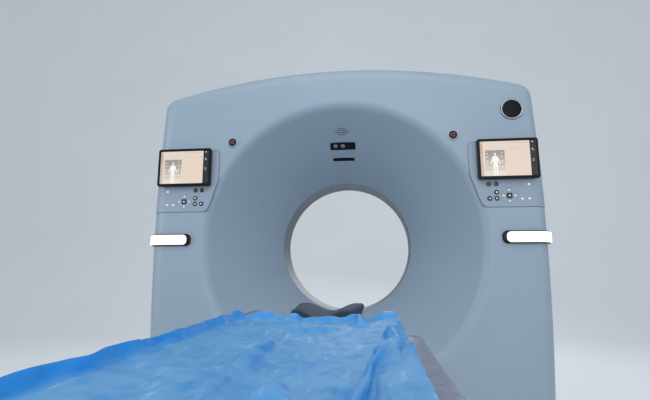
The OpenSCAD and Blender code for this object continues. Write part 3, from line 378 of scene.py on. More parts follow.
# Cover from its throat outwards: cone, soft rim, flat face, rounded edge and side. A ring is a
# circle up to the rim, then it changes evenly into the outline across the face
def coverMesh(name, flare):
    g = gantry
    slope = math.atan((flare - g["bore"]) / (g["depth"] / 2 - g["throat"]))
    rimX = flare + g["rim"] * math.tan((math.pi / 2 - slope) / 2)
    border = closedOutline(-g["edge"])
    turn = np.arctan2(border[:, 1], border[:, 0])
    round_ = np.column_stack([np.cos(turn), np.sin(turn)])
    arc = np.linspace(math.pi / 2 - slope, 0, g["arcPoints"])
    rimStart = np.array([rimX - g["rim"] * math.sin(arc[0]), faceY + g["rim"] * (1 - math.cos(arc[0]))])
    along = np.concatenate([[0, 0.01], np.linspace(0.04, 0.96, 14), [0.99]])
    boreEnd = np.array([g["bore"], -g["throat"]])
    cone = boreEnd + along[:, None] * (rimStart - boreEnd)
    rim = np.column_stack([rimX - g["rim"] * np.sin(arc), faceY + g["rim"] * (1 - np.cos(arc))])
    rings = [atDepth(round_ * r, y) for r, y in np.vstack([cone, rim])]
    for share in [0.02, *np.linspace(0.1, 0.9, 7), 0.985, 1.0]:
        rings.append(atDepth((1 - share) * round_ * rimX + share * border, faceY))
    for a in quarterTurn(g["arcPoints"])[1:]:
        rings.append(atDepth(outline(g["edge"] * (math.sin(a) - 1)),
                             faceY + g["edge"] * (1 - math.cos(a))))
    for y in np.linspace(g["edge"], g["coverDepth"], 5)[1:]:
        rings.append(atDepth(outline(0), faceY + y))
    return ringMesh(name, rings, flip=True)


# Rounded rectangle as a closed path: straight sides joined by quarter circles
def roundRect(w, h, r, steps=8):
    corners = []
    for sx, sz, start in ((1, 1, 0), (-1, 1, 0.5), (-1, -1, 1), (1, -1, 1.5)):
        a = quarterTurn(steps) + start * math.pi
        corners.append(np.column_stack([sx * (w / 2 - r) + r * np.cos(a),
                                        sz * (h / 2 - r) + r * np.sin(a)]))
    return np.vstack(corners)


# Plate built up along its own Z: each step of the profile gives an inset of the rounded
# rectangle and a height, and a cap closes each end
def plateMesh(name, w, h, r, profile, place=Matrix.Identity(4), steps=8):
    rings = []
    for inset, z in profile:
        path = roundRect(w - 2 * inset, h - 2 * inset, max(r - inset, 0.0002), steps)
        rings.append(level(path, z))
    mesh = ringMesh(name, rings, capFirst=True, capLast=True)
    mesh.transform(place)
    return mesh


# Profile of radius and height turned round Z
def turnedMesh(name, profile, place=Matrix.Identity(4), steps=64, cycle=False, capFirst=False,
               capLast=False):
    a = np.linspace(0, 2 * math.pi, steps, endpoint=False)
    rings = [np.column_stack([r * np.cos(a), r * np.sin(a), np.full(steps, z)]) for r, z in profile]
    mesh = ringMesh(name, rings, cycle=cycle, capFirst=capFirst, capLast=capLast)
    mesh.transform(place)
    return mesh


# Place on the upper cone of the front flare, at a depth behind the face; Z points out of the wall
coneSlope = math.atan((gantry["frontFlare"] - gantry["bore"]) / (gantry["depth"] / 2 - gantry["throat"]))


def onCone(depth, x=0.0, across=0.0):
    place = Matrix.Translation((0, faceY + depth,
                                axisZ + gantry["frontFlare"] - depth * math.tan(coneSlope)))
    turn = Matrix.Rotation(math.pi - coneSlope, 4, "X") @ Matrix.Rotation(math.pi, 4, "Z")
    return place @ turn @ Matrix.Translation((-x, across, 0))


# Place on the front face: X to the right, Y up, Z out of the face
def onFace(x, z, out=0.0):
    return Matrix.Translation((x, faceY - out, axisZ + z)) @ Matrix.Rotation(math.pi / 2, 4, "X")


# Materials of the record's slots
coverWhite = solidFinish("cover_white", (141, 159, 176), 0.42, 0.015, 2.5, 1400.0, 0.00002,
                         swell=(260.0, 0.00004))
panelPale = solidFinish("panel_pale", (139, 156, 173), 0.5, 0.02, 4.0, 2200.0, 0.00003)
# Dark rubber of the bore gaskets and the window's seams; the same dark also paints the shade in the cover
# seams and inside the speaker slots
sealDarkAndSeamShade = solidFinish("seal_dark", (38, 46, 54), 0.75, 0.08, 20.0, 1500.0, 0.00004)
windowGrey = solidFinish("window_grey", (74, 87, 100), 0.4, 0.04, 8.0, 1200.0, 0.00002)
blackPlastic = solidFinish("black_plastic", (8, 10, 14), 0.3, 0.1, 12.0, 1600.0, 0.00001, specular=0.22)
framePaint = solidFinish("frame_paint", (88, 104, 122), 0.5, 0.05, 9.0, 420.0, 0.00007)
print("materials ready")

flareThings = {
    "slotLengths": (0.041, 0.069, 0.069, 0.041), "slotPitch": 0.0125, "slotHeight": 0.005,
    "slotDepth": 0.124, "cameraDepth": 0.200, "camera": (0.131, 0.050, 0.008),
    "displayDepth": 0.272, "display": (0.115, 0.023, 0.004), "gap": 0.0005}
cutSpan = [(0, -0.02), (0, 0.01)]          # a cut reaches from behind its face to before it


# Cutters of the front cover: speaker slots, camera window and display slot
def frontCutters():
    t = flareThings
    cutters = []
    for k, length in enumerate(t["slotLengths"]):
        cutters.append(plateMesh("cut", length, t["slotHeight"], t["slotHeight"] / 2.1, cutSpan,
                                 onCone(t["slotDepth"], 0, (k - 1.5) * t["slotPitch"])))
    for depth, (w, h, r) in ((t["cameraDepth"], t["camera"]), (t["displayDepth"], t["display"])):
        cutters.append(plateMesh("cut", w + 2 * t["gap"], h + 2 * t["gap"], r, cutSpan, onCone(depth)))
    return looseObject("cutters", joined("cutters", cutters))


frontCover = addPiece("front_cover_shell", coverMesh("front_cover_shell", gantry["frontFlare"]),
                      coverWhite, ["front_cover"], wall=gantry["wall"], cut=frontCutters())

# Dark sheet behind the slots: it stands for the speaker and paints the shade inside the slots
speaker = {"size": (0.086, 0.060, 0.010), "thick": 0.002, "gap": 0.0008}
behind = gantry["wall"] + speaker["gap"]
addPiece("speaker_slot_shade", plateMesh("speaker_slot_shade", *speaker["size"],
                                    [(0, -behind - speaker["thick"]), (0, -behind)],
                                    onCone(flareThings["slotDepth"])), sealDarkAndSeamShade)
print("front cover", len(frontCover.data.polygons))

# The rear cover is turned round and has air slots low on both sides
rearSlots = {"count": 9, "pitch": 0.026, "width": 0.300, "height": 0.009, "x": 0.620, "low": 0.110}


def rearCutters():
    s = rearSlots
    turn = Matrix.Rotation(math.pi / 2, 4, "X")
    cutters = [plateMesh("cut", s["width"], s["height"], 0.004, [(0, -0.02), (0, 0.02)], Matrix.Translation(
        (side * s["x"], -faceY, s["low"] + k * s["pitch"])) @ turn)
        for side in (-1, 1) for k in range(s["count"])]
    return looseObject("rearCutters", joined("rearCutters", cutters))


rearMesh = coverMesh("rear_cover_shell", gantry["rearFlare"])
rearMesh.transform(Matrix.Rotation(math.pi, 4, "Z"))
addPiece("rear_cover_shell", rearMesh, coverWhite, ["rear_cover"], wall=gantry["wall"], cut=rearCutters())

# The band between the covers bulges by the squared cosine of its place along the depth
bandY = faceY + gantry["coverDepth"] + gantry["reveal"]
bandRows = np.linspace(bandY, -bandY, 25)
bandBulge = gantry["bulge"] * np.cos(math.pi / 2 * bandRows / bandY) ** 2


def bandMesh(name, pathOf):
    return ringMesh(name, [atDepth(pathOf(g), y) for y, g in zip(bandRows, bandBulge)], closed=False,
                    flip=True)


def sidePath(g):
    z = np.linspace(lowZ, gantry["split"], 50)
    return np.column_stack([sideX(z, g), z])


topMesh = bandMesh("top_cover_shell", lambda g: outline(g, gantry["split"] + gantry["reveal"]))
addPiece("top_cover_shell", topMesh, coverWhite, ["top_cover"], wall=gantry["wall"], bevel=0.0008)
for side, name in sides:
    node = "side_cover_" + name
    addPiece(node + "_shell", sided(bandMesh(node + "_shell", sidePath), side), coverWhite, [node],
             wall=gantry["wall"], bevel=0.0008)

# Dark strips behind the open lines between the covers: painted shade of the seams
seamShadeSize = {"below": 0.0052, "height": 0.0016, "width": 0.016, "ridge": 0.0006, "bandLow": 0.008,
            "bandMiddle": -0.0018, "bandHalf": 0.012}
for name, y in (("front", bandY - gantry["reveal"] / 2), ("rear", -bandY + gantry["reveal"] / 2)):
    half, top = seamShadeSize["width"] / 2, -seamShadeSize["below"]
    low, crown = top - seamShadeSize["height"], top + seamShadeSize["ridge"]
    shape = [(-half, low), (-half, top), (-0.002, top), (0, crown), (0.002, top), (half, top), (half, low)]
    rings = [atDepth(outline(g), y + across) for across, g in shape]
    addPiece("cover_seam_shade_" + name, ringMesh("seamShade", rings, closed=False, cycle=True, flip=True), sealDarkAndSeamShade)
# The same painted shade along the split lines between the top cover and the side covers
splitHigh = gantry["split"] + gantry["reveal"] / 2
for side, name in sides:
    offsets = [(seamShadeSize["bandMiddle"] + seamShadeSize["bandHalf"] * s, splitHigh + seamShadeSize["bandLow"] * t)
               for s, t in ((0, -1), (0, 1), (-0.14, 1), (-0.14, -1))]
    rows = [level(np.column_stack([sideX(z, bandBulge - seamShadeSize["below"] + depth), bandRows]), z + axisZ)
            for depth, z in offsets]
    mesh = ringMesh("seamShade", rows, closed=False, cycle=True)
    addPiece("band_seam_shade_" + name, sided(mesh, side), sealDarkAndSeamShade)

# Lining of the bore: turned round the bore axis with the window's wall and soft gaskets
lining = {"wall": 0.003, "gasket": 0.006, "gasketHeight": 0.014, "portRadius": 0.009, "portY": 0.060,
          "steps": 192}
onAxis = Matrix.Translation((0, 0, axisZ)) @ Matrix.Rotation(-math.pi / 2, 4, "X")
windowEnd = gantry["throat"] - lining["gasket"]
bore, outer = gantry["bore"], gantry["bore"] + lining["wall"]
windowProfile = [(bore, windowEnd * share) for share in (-1, -1 / 3, 1 / 3, 1)]
windowProfile += [(outer, windowEnd), (outer, -windowEnd)]
addPiece("bore_window", turnedMesh("bore_window", windowProfile[::-1], onAxis, lining["steps"], cycle=True),
         windowGrey, ["scan_window"])
gaskets = []
for sign in (-1, 1):
    middle = sign * (gantry["throat"] - lining["gasket"] / 2)
    half = lining["gasket"] / 2
    high = lining["gasketHeight"]
    profile = [(bore + out, middle + half * share) for out, share in (
        (high, 1), (0.0006, 1), (-0.0004, 0.6), (-0.0006, 0), (-0.0004, -0.6), (0.0006, -1), (high, -1))]
    gaskets.append(turnedMesh("gasket", profile, onAxis, lining["steps"], cycle=True))
addPiece("bore_gaskets", joined("bore_gaskets", gaskets), sealDarkAndSeamShade, ["throat_gaskets"])
seamShape = [(0.001, 0.0025), (-0.0002, 0.0025), (-0.0004, 0.0), (-0.0002, -0.0025), (0.001, -0.0025)]
seams = [turnedMesh("seam", [(bore + out, sign * windowEnd / 3 + y) for out, y in seamShape], onAxis,
                    lining["steps"], cycle=True) for sign in (-1, 1)]
addPiece("window_seams", joined("window_seams", seams), sealDarkAndSeamShade)
ports = []
for turn in (0, 90, 180):
    place = (Matrix.Translation((0, lining["portY"], axisZ)) @ Matrix.Rotation(-math.radians(turn), 4, "Y")
             @ Matrix.Translation((bore, 0, 0)) @ Matrix.Rotation(math.pi / 2, 4, "Y"))
    r = lining["portRadius"]
    profile = [(0, -0.0001), (r * 0.3, -0.0001), (r * 0.35, -0.0008), (r * 0.8, -0.0012),
               (r * 0.95, -0.001), (r, -0.0002), (r, 0.014), (0, 0.014)]
    ports.append(tidied(turnedMesh("port", profile, place, 40)))
addPiece("laser_windows", joined("laser_windows", ports), blackPlastic, ["laser_ports"])
print("covers and bore ready")

# Camera window with two lenses and the dark display slot, let into the top of the flare
lensGrey = solidFinish("lens_grey", (126, 126, 138), 0.12, 0.12, 60.0, 300.0, 0.00001, coat=0.8)
chrome = turnedMetal("chrome", (190, 198, 206), 0.14, (1, 1, 6))
w, h, r = flareThings["camera"]
addPiece("camera_glass", plateMesh("camera_glass", w, h, r, [
    (0, -0.014), (0, -0.0009), (0.0004, -0.0004), (0.0012, -0.0002), (0.006, -0.0004), (0.0065, -0.0008)],
    onCone(flareThings["cameraDepth"]), 10), blackPlastic, ["camera_window"])
lensRings, lensDomes = [], []
for x in (0.0, -0.038):
    place = onCone(flareThings["cameraDepth"], x)
    lensRings.append(turnedMesh("ring", [
        (0.0140, -0.002), (0.0140, -0.0002), (0.0134, 0.0003), (0.0126, 0.0002), (0.0120, -0.0006),
        (0.0120, -0.002)], place, 48, cycle=True))
    dome = [(0.0119 * math.cos(a), -0.0012 + 0.0022 * math.sin(a)) for a in quarterTurn(9)]
    lensDomes.append(tidied(turnedMesh("dome", [(0.0119, -0.003)] + dome, place, 48, capFirst=True)))
addPiece("camera_rings", joined("camera_rings", lensRings), blackPlastic)
addPiece("camera_lenses", joined("camera_lenses", lensDomes), lensGrey)
w, h, r = flareThings["display"]
addPiece("display_glass", plateMesh("display_glass", w, h, r, [
    (0, -0.014), (0, -0.0016), (0.0005, -0.0012), (0.0016, -0.001)], onCone(flareThings["displayDepth"]),
    10), blackPlastic, ["display_slot"])


# Point on the gantry's skin: u runs outwards from the line where the front edge begins to round,
# z is the height over the axis and g the distance off the surface
def skin(u, z, g):
    turn = np.clip(u / gantry["edge"], 0, math.pi / 2)
    reach = (gantry["edge"] + g) * np.sin(turn) - gantry["edge"]
    x = np.where(u < 0, sideX(z, -gantry["edge"]) + u, sideX(z, reach))
    y = faceY + gantry["edge"] - (gantry["edge"] + g) * np.cos(turn)
    return np.column_stack([x, y, z + axisZ])


# Smooth path through a few points: cubic pieces whose slopes follow the neighbouring points
def smoothPath(points, count):
    p = np.array(points, float)
    gaps = np.maximum(np.linalg.norm(np.diff(p, axis=0), axis=1), 0.0001)
    s = np.concatenate([[0], np.cumsum(gaps)])
    slope = np.gradient(p, s, axis=0)
    at = np.linspace(0, s[-1], count)
    k = np.clip(np.searchsorted(s, at, "right") - 1, 0, len(p) - 2)
    t = ((at - s[k]) / gaps[k])[:, None]
    step = gaps[k][:, None]
    return ((2 * t ** 3 - 3 * t ** 2 + 1) * p[k] + (t ** 3 - 2 * t ** 2 + t) * step * slope[k]
            + (3 * t ** 2 - 2 * t ** 3) * p[k + 1] + (t ** 3 - t ** 2) * step * slope[k + 1])


# Control panels: a thin plate that wraps round the edge, ringed by a dark strip that paints the shade of
# the groove round it
panel = {"left": 0.590, "low": 0.146, "high": 0.446, "thick": 0.002, "wrap": 75, "grooveShade": 0.0020,
         "keyRadius": 0.0105, "keyProud": 0.003, "keyDepth": 0.009, "keyGap": 0.0003, "navHalf": 0.012,
         "tabletX": 0.756, "green": [(-0.085, 0.104), (-0.053, 0.104)], "nav": (0.002, 0.050),
         "ringed": [(-0.053, 0.066), (-0.053, 0.038), (-0.084, 0.038)],
         "ringRadius": 0.0355, "arrowAt": 0.025}
panelEdge = [(0.028, 0.300), (0.008, 0.298), (0.002, 0.292), (0, 0.270), (0, 0.203), (0.005, 0.140),
             (0.017, 0.108), (0.046, 0.022), (0.053, 0.009), (0.066, 0.001), (0.078, 0)]


def panelMesh(name, grow, g):
    edge = smoothPath(panelEdge, 70) + [panel["left"], panel["low"]]
    along = np.gradient(edge, axis=0)
    along /= np.linalg.norm(along, axis=1)[:, None]
    edge = edge + grow * np.column_stack([along[:, 1], -along[:, 0]])
    edge[0, 1] = panel["high"] + grow
    edge[-1, 1] = panel["low"] - grow
    reach = math.radians(panel["wrap"]) * gantry["edge"] + grow
    shares = np.concatenate([np.linspace(0, 1, 12), 1 + np.linspace(0, 1, 12)[1:]])
    rows = []
    for x, z in edge:
        start = x - sideX(z, -gantry["edge"])
        u = np.where(shares <= 1, start * (1 - shares), (shares - 1) * reach)
        rows.append(skin(u, np.full(len(u), z), g))
    return ringMesh(name, rows, closed=False, flip=True)


def keyPlace(offset, out=0.0):
    return onFace(panel["tabletX"] + offset[0], panel["low"] + offset[1], out)


# Holes for the keys: round ones, and a square one for the middle key
def panelCutter():
    r, half = panel["keyRadius"] + panel["keyGap"], panel["navHalf"] + panel["keyGap"]
    holes = [turnedMesh("hole", [(r, z) for _, z in cutSpan], keyPlace(p), 48, capFirst=True, capLast=True)
             for p in panel["green"] + panel["ringed"]]
    holes.append(plateMesh("hole", 2 * half, 2 * half, 0.003, cutSpan, keyPlace(panel["nav"])))
    return joined("holes", holes)


keyGreen = solidFinish("key_green", (14, 44, 38), 0.3, 0.1, 40.0, 900.0, 0.00002, coat=0.2)
keyDark = solidFinish("key_dark", (20, 25, 31), 0.4, 0.1, 40.0, 1300.0, 0.00002)
glow = lampFinish("key_glow", (236, 244, 248), 1.0)
# Painted shade: the dark blue strip round each panel stands for the shade in the groove between panel and
# cover
grooveShadeBlue = solidFinish("groove_shade_blue", (66, 80, 97), 0.7, 0.06, 20.0, 900.0, 0.00003)
faintMark = solidFinish("faint_mark", (116, 132, 150), 0.5, 0.03, 30.0, 900.0, 0.00001)
for side, name in sides:
    plate = sided(panelMesh("panel", 0.0, panel["thick"]), side)
    grooveShade = sided(panelMesh("grooveShade", panel["grooveShade"], 0.0008), side)
    holes = sided(panelCutter(), side)
    addPiece("panel_groove_shade_" + name, grooveShade, grooveShadeBlue, wall=0.0006, even=False)
    addPiece("panel_plate_" + name, plate, panelPale, ["control_panels"],
             wall=panel["thick"] - 0.0004, bevel=0.0004, cut=looseObject("holes", holes), even=False)


# A flat mark on the panel or a screen: a thin plate of any closed outline
def markMesh(path, place, high=0.0002):
    mesh = ringMesh("mark", [level(path, z) for z in (0.0, high)], capFirst=True, capLast=True)
    mesh.transform(place)
    return mesh


def disc(x, y, r):
    a = np.linspace(0, 2 * math.pi, 24, endpoint=False)
    return np.column_stack([x + r * np.cos(a), y + r * np.sin(a)])


def bar(x, y, w, h, r=0.0006):
    return roundRect(w, h, min(r, w / 2.1, h / 2.1), 4) + [x, y]


def wedge(x, y, size, turn):
    a = np.radians(np.array([90, 210, 330]) + turn)
    return np.column_stack([x + size * np.cos(a), y + size * np.sin(a)])


# Icons of the keys, all generic: dots, wedges and bars
icons = {
    "ringed": [[disc(0, 0, 0.0038)], [wedge(0, 0, 0.0045, 30), bar(-0.0035, 0, 0.0012, 0.006)],
               [wedge(0, 0, 0.0045, -30), bar(0.0035, 0, 0.0012, 0.006)]],
    "nav": [bar(0, -0.002, 0.010, 0.0028, 0.001), bar(0, 0.0018, 0.006, 0.003, 0.001)]}
for side, name in sides:
    top = panel["thick"] + panel["keyProud"]
    r = panel["keyRadius"]
    for kind, material, places in (("green", keyGreen, panel["green"]), ("ring", keyDark, panel["ringed"])):
        for k, offset in enumerate(places):
            node = "%s_key_%s_%d" % (kind, name, k + 1)
            dish = 0.0008 if kind == "ring" else -0.0006
            profile = [(0, -panel["keyDepth"]), (r, -panel["keyDepth"]), (r, top - 0.0014),
                       (r - 0.0004, top - 0.0005), (r - 0.0013, top), (r - 0.0026, top - 0.0001),
                       (r - 0.0034, top - max(dish, 0) * 0.7), (r * 0.35, top - dish), (0, top - dish)]
            addPiece(node + "_cap", sided(tidied(turnedMesh("cap", profile, keyPlace(offset), 40)), side),
                     material, [node], body=node + "_button")
            if kind == "ring":
                marks = [markMesh(path, keyPlace(offset, top - 0.0009)) for path in icons["ringed"][k]]
                addPiece(node + "_icon", sided(joined("icon", marks), side), glow, body=node + "_button")
    node = "nav_key_" + name
    half = panel["navHalf"]
    profile = [(0, -panel["keyDepth"]), (0, top - 0.0012), (0.0005, top - 0.0004), (0.0014, top),
               (0.0045, top - 0.0002), (0.006, top - 0.0006)]
    cap = plateMesh("nav", 2 * half, 2 * half, 0.003, profile, keyPlace(panel["nav"]))
    addPiece(node + "_cap", sided(cap, side), keyDark, [node], body=node + "_button")
    marks = [markMesh(path, keyPlace(panel["nav"], top - 0.0006)) for path in icons["nav"]]
    addPiece(node + "_icon", sided(joined("icon", marks), side), glow, body=node + "_button")
    over = keyPlace(panel["nav"], panel["thick"])
    arrows = [markMesh(wedge(panel["arrowAt"] * math.cos(a), panel["arrowAt"] * math.sin(a), 0.0055,
                             math.degrees(a) - 90), over, 0.0004) for a in np.arange(4) * math.pi / 2]
    for x, z in ((0.844, 0.246), (0.843, 0.181), (0.812, 0.181)):
        arrows.append(markMesh(bar(0, 0, 0.0105, 0.0075, 0.003), onFace(x, z, panel["thick"]), 0.0004))
    addPiece("panel_lights_" + name, sided(joined("lights", arrows), side), glow)
    ring = turnedMesh("ring", [(panel["ringRadius"] + dr, dz) for dr, dz in (
        (0.0008, 0), (0.0004, 0.0003), (-0.0004, 0.0003), (-0.0008, 0))], over, 96, cycle=True)
    nearTablet, nearBore = onFace(0.805, 0.247, panel["thick"]), onFace(0.645, 0.251, panel["thick"])
    marks = [ring] + [markMesh(bar(*sizes), spot) for sizes, spot in (
        ((0, 0.003, 0.010, 0.003), nearTablet), ((0, -0.002, 0.004, 0.004), nearTablet),
        ((0, 0, 0.003, 0.011), nearBore), ((0.004, 0.003, 0.004, 0.003), nearBore))]
    addPiece("panel_marks_" + name, sided(joined("marks", marks), side), faintMark)
print("panels and keys ready")

# Tablets: a thin glossy case on a short foot, with a lit screen behind its bezel
tablet = {"w": 0.266, "h": 0.186, "r": 0.012, "z": 0.361, "gap": 0.010, "thick": 0.018, "bezel": 0.013}
screenPage = lampFinish("screen_page", (233, 217, 202), 0.9)
screenStrip = lampFinish("screen_strip", (34, 34, 42), 0.8)
screenGrey = lampFinish("screen_grey", (120, 118, 120), 0.9)
screenLight = lampFinish("screen_light", (246, 246, 240), 0.95)
screenTan = lampFinish("screen_tan", (214, 190, 172), 0.85)
screenBlank = lampFinish("screen_blank", (234, 214, 198), 0.92)
caseFront = tablet["gap"] + tablet["thick"]
back = tablet["gap"]
bezel = tablet["bezel"]
caseProfile = [(0.006, back), (0.0022, back + 0.0006), (0.0004, back + 0.003), (0, back + 0.006),
               (0, caseFront - 0.003), (0.0006, caseFront - 0.0011), (0.0016, caseFront - 0.0002),
               (0.003, caseFront), (bezel - 0.0006, caseFront), (bezel, caseFront - 0.0003),
               (bezel, caseFront - 0.0018)]
screenW = tablet["w"] - 2 * bezel
screenH = tablet["h"] - 2 * bezel
screenFace = caseFront - 0.0006

# What the screen shows, in shares of its width and height from its middle: shape, then material
# A schematic figure: the outline of its right half from the neck down, its mirror, and a disc as head
half = np.array([(0.010, 0.095), (0.014, 0.070), (0.045, 0.052), (0.060, 0.010), (0.092, -0.150),
                 (0.078, -0.165), (0.046, -0.050), (0.038, -0.110), (0.044, -0.200), (0.036, -0.490),
                 (0.012, -0.490), (0.004, -0.230)])
figure = [np.vstack([half, half[::-1] * [-1, 1]]) + [-0.235, 0], disc(-0.235, 0.132, 0.024)]
fadeTop, fadeLow = np.array((158, 150, 144)), np.array((238, 226, 208))
fades = [lampFinish("screen_fade_%d" % k, fadeTop + (fadeLow - fadeTop) * k / 4, 0.9) for k in range(5)]
layout = [
    (screenStrip, 1, [bar(0.448, 0, 0.104, 1.0, 0.004)]),
    (screenTan, 1, [bar(-0.475, 0, 0.05, 0.98, 0.004), bar(0.185, 0.44, 0.38, 0.012)]),
    (screenBlank, 1, [bar(0.19, -0.05, 0.39, 0.82, 0.01)]),
    *[(fade, 1, [bar(-0.235, 0.24 - 0.148 * (k + 0.5), 0.35, 0.1478, 0.001)])
      for k, fade in enumerate(fades)],
    (screenLight, 2, figure + [disc(-0.377, z, 0.014) for z in (0.146, 0.037, -0.061, -0.146)]
     + [disc(-0.113, z, 0.014) for z in (0.160, 0.070, -0.060, -0.120, -0.240)]
     + [disc(0.448, 0.46, 0.014), disc(0.440, 0.26, 0.012), bar(0.456, 0.22, 0.03, 0.012),
        bar(0.448, -0.04, 0.03, 0.012), disc(0.448, -0.08, 0.010)]),
    (screenTan, 2, [bar(0.185, 0.30, 0.36, 0.006)]),
    (screenGrey, 2, [bar(-0.475, 0.4 - 0.07 * k, 0.02, 0.03, 0.004) for k in range(4)])]
screenMaterials = [screenPage, screenStrip, screenTan, screenBlank, screenGrey, screenLight] + fades
for side, name in sides:
    place = onFace(side * panel["tabletX"], tablet["z"])
    case = plateMesh("case", tablet["w"], tablet["h"], tablet["r"], caseProfile, place, 10)
    foot = plateMesh("foot", 0.120, 0.090, 0.012, [
        (0, 0.0004), (0, 0.006), (0.004, 0.009), (0.004, back + 0.001)], place)
    addPiece("tablet_case_" + name, joined("case", [case, foot]), blackPlastic, ["tablet_cases"])
    page = plateMesh("page", screenW - 0.0006, screenH - 0.0006, 0.002, [
        (0, screenFace - 0.001), (0, screenFace - 0.0001), (0.0001, screenFace)], place)
    meshes, indices = [page], [np.zeros(len(page.polygons), int)]
    for material, layer, paths in layout:
        for path in paths:
            mark = markMesh(path * [screenW, screenH], place @ Matrix.Translation((0, 0, screenFace)),
                            0.00006 * layer)
            meshes.append(mark)
            indices.append(np.full(len(mark.polygons), screenMaterials.index(material)))
    piece = addPiece("tablet_screen_" + name, joined("screen", meshes), screenMaterials,
                     ["tablet_screens"])
    piece.data.polygons.foreach_set("material_index", np.concatenate(indices).astype(np.int32))
print("tablets ready")

# Emergency stops: a pale bezel and a mushroom head with a dark skirt that travels into it
stop = {"x": 0.525, "z": 0.485, "radius": 0.019, "bezelRadius": 0.025, "bezelHeight": 0.008, "top": 0.0118,
        "head": 0.006, "stem": 0.010, "arcs": (0.0086, 0.0070)}
stopRed = solidFinish("stop_red", (92, 34, 46), 0.5, 0.08, 30.0, 900.0, 0.00002, specular=0.2)
skirtDark = solidFinish("skirt_dark", (30, 22, 32), 0.45, 0.1, 40.0, 1300.0, 0.00002, specular=0.25)
bezelPale = solidFinish("bezel_pale", (176, 186, 198), 0.35, 0.03, 30.0, 900.0, 0.00002)
for side, name in sides:
    place = onFace(side * stop["x"], stop["z"])
    h, r = stop["bezelHeight"], stop["bezelRadius"]
    addPiece("estop_bezel_" + name, turnedMesh("bezel", [
        (0.0103, -0.020), (0.012, -0.020), (0.012, 0.0002), (r, 0.0002), (r, h * 0.35),
        (r - 0.0012, h * 0.75), (r - 0.0032, h), (r - 0.0047, h), (stop["radius"] + 0.0004, h - 0.001),
        (stop["radius"] + 0.0004, 0.0016), (0.0103, 0.0016)], place, 72, cycle=True), bezelPale,
        ["estop_bezels"])
    r, top, low = stop["radius"], stop["top"], stop["top"] - stop["head"]
    body = "estop_%s_button" % name
    skirt = [(0, -0.014), (stop["stem"], -0.014), (stop["stem"], low), (r - 0.001, low), (r, low + 0.001),
             (r, top - 0.0022), (r - 0.0008, top - 0.0008), (r - 0.0024, top - 0.0002),
             (r * 0.66, top - 0.0004), (r * 0.63, top - 0.001), (0, top - 0.001)]
    addPiece("estop_%s_skirt" % name, tidied(turnedMesh("skirt", skirt, place, 64)), skirtDark,
             ["estop_" + name], body=body)
    head = [(r * 0.62, top - 0.0012)] + [(r * 0.62 * math.cos(a), top - 0.001 + 0.0016 * math.sin(a))
                                         for a in np.linspace(0.1, math.pi / 2, 8)]
    addPiece("estop_%s_head" % name, tidied(turnedMesh("head", head, place, 64, capFirst=True)), stopRed,
             body=body)
    arcs = []
    for start in (20, 140, 260):
        a = np.radians(start + np.linspace(0, 70, 10))
        ray = np.column_stack([np.cos(a), np.sin(a)])
        arc = np.vstack([stop["arcs"][0] * ray, stop["arcs"][1] * ray[::-1]])
        arcs.append(markMesh(arc, place @ Matrix.Translation((0, 0, top + 0.00005)), 0.0004))
    addPiece("estop_%s_marks" % name, joined("arcs", arcs), faintMark, body=body)


# Closed path of a light bar: along the top to the rounded inner end and back along the bottom
lightBar = {"start": 0.715, "z": 0.011, "height": 0.057, "out": 0.014, "lens": 0.005, "endRadius": 0.024,
            "inset": 0.005, "end": 0.016, "wrap": 85, "points": 33}


def barRing(inset, end, g, wrap):
    b = lightBar
    half = b["height"] / 2 - inset
    r = min(max(b["endRadius"] - inset, 0.0006), half)
    start = b["start"] + end - sideX(b["z"], -gantry["edge"])
    reach = math.radians(wrap) * gantry["edge"] - min(inset, 0.002)
    a = quarterTurn(10)
    count = b["points"]
    run = np.linspace(reach, start + r, count + 1)[:-1]
    u = np.concatenate([run, start + r - r * np.sin(a), start + r - r * np.cos(a), run[::-1]])
    z = np.concatenate([np.full(count, half), half - r + r * np.cos(a), -half + r - r * np.sin(a),
                        np.full(count, -half)])
    return skin(u, z + b["z"], g)


def skinBar(name, profile, inset, end, wrap):
    rings = [barRing(inset + i, end + i, g, wrap) for i, g in profile]
    return tidied(ringMesh(name, rings, capFirst=True, capLast=True), recalc=False)


lensGlow = lampFinish("lens_glow", (255, 253, 250), 1.25)
out, over = lightBar["out"], lightBar["out"] + lightBar["lens"]
housing = [(0, 0.0004), (0, out * 0.62), (0.0006, out * 0.82), (0.0018, out * 0.94), (0.0036, out),
           (0.012, out), (0.020, out), (0.027, out)]
lens = [(0, out + 0.0003), (0, out + 0.0022), (0.0008, over - 0.0012), (0.0026, over - 0.0003),
        (0.006, over), (0.012, over), (0.018, over), (0.0225, over)]
for side, name in sides:
    box = skinBar("housing", housing, 0, 0, lightBar["wrap"])
    pane = skinBar("lens", lens, lightBar["inset"], lightBar["end"], lightBar["wrap"] - 4)
    addPiece("light_housing_" + name, sided(box, side), blackPlastic, ["light_bar_housings"])
    addPiece("light_lens_" + name, sided(pane, side), lensGlow, ["light_bar_lenses"])

# Round plaque with a bright ring, bare in the middle
plaque = {"x": 0.794, "z": 0.600, "radius": 0.050}
place = onFace(plaque["x"], plaque["z"])
r = plaque["radius"]
addPiece("plaque_disc", tidied(turnedMesh("disc", [
    (0, 0.0002), (r, 0.0002), (r, 0.0030), (r - 0.0008, 0.0040), (r - 0.008, 0.0040), (r - 0.0085, 0.0052),
    (r - 0.0095, 0.0060), (r - 0.018, 0.0062), (0, 0.0066)], place, 96)), blackPlastic, ["badge"])
ring = [(r - 0.0042 + 0.0034 * math.cos(a), 0.0042 + 0.0033 * math.sin(a))
        for a in np.linspace(0, 2 * math.pi, 16, endpoint=False)]
addPiece("plaque_ring", turnedMesh("ring", ring, place, 96, cycle=True), chrome)
print("stops, light bars and plaque ready")

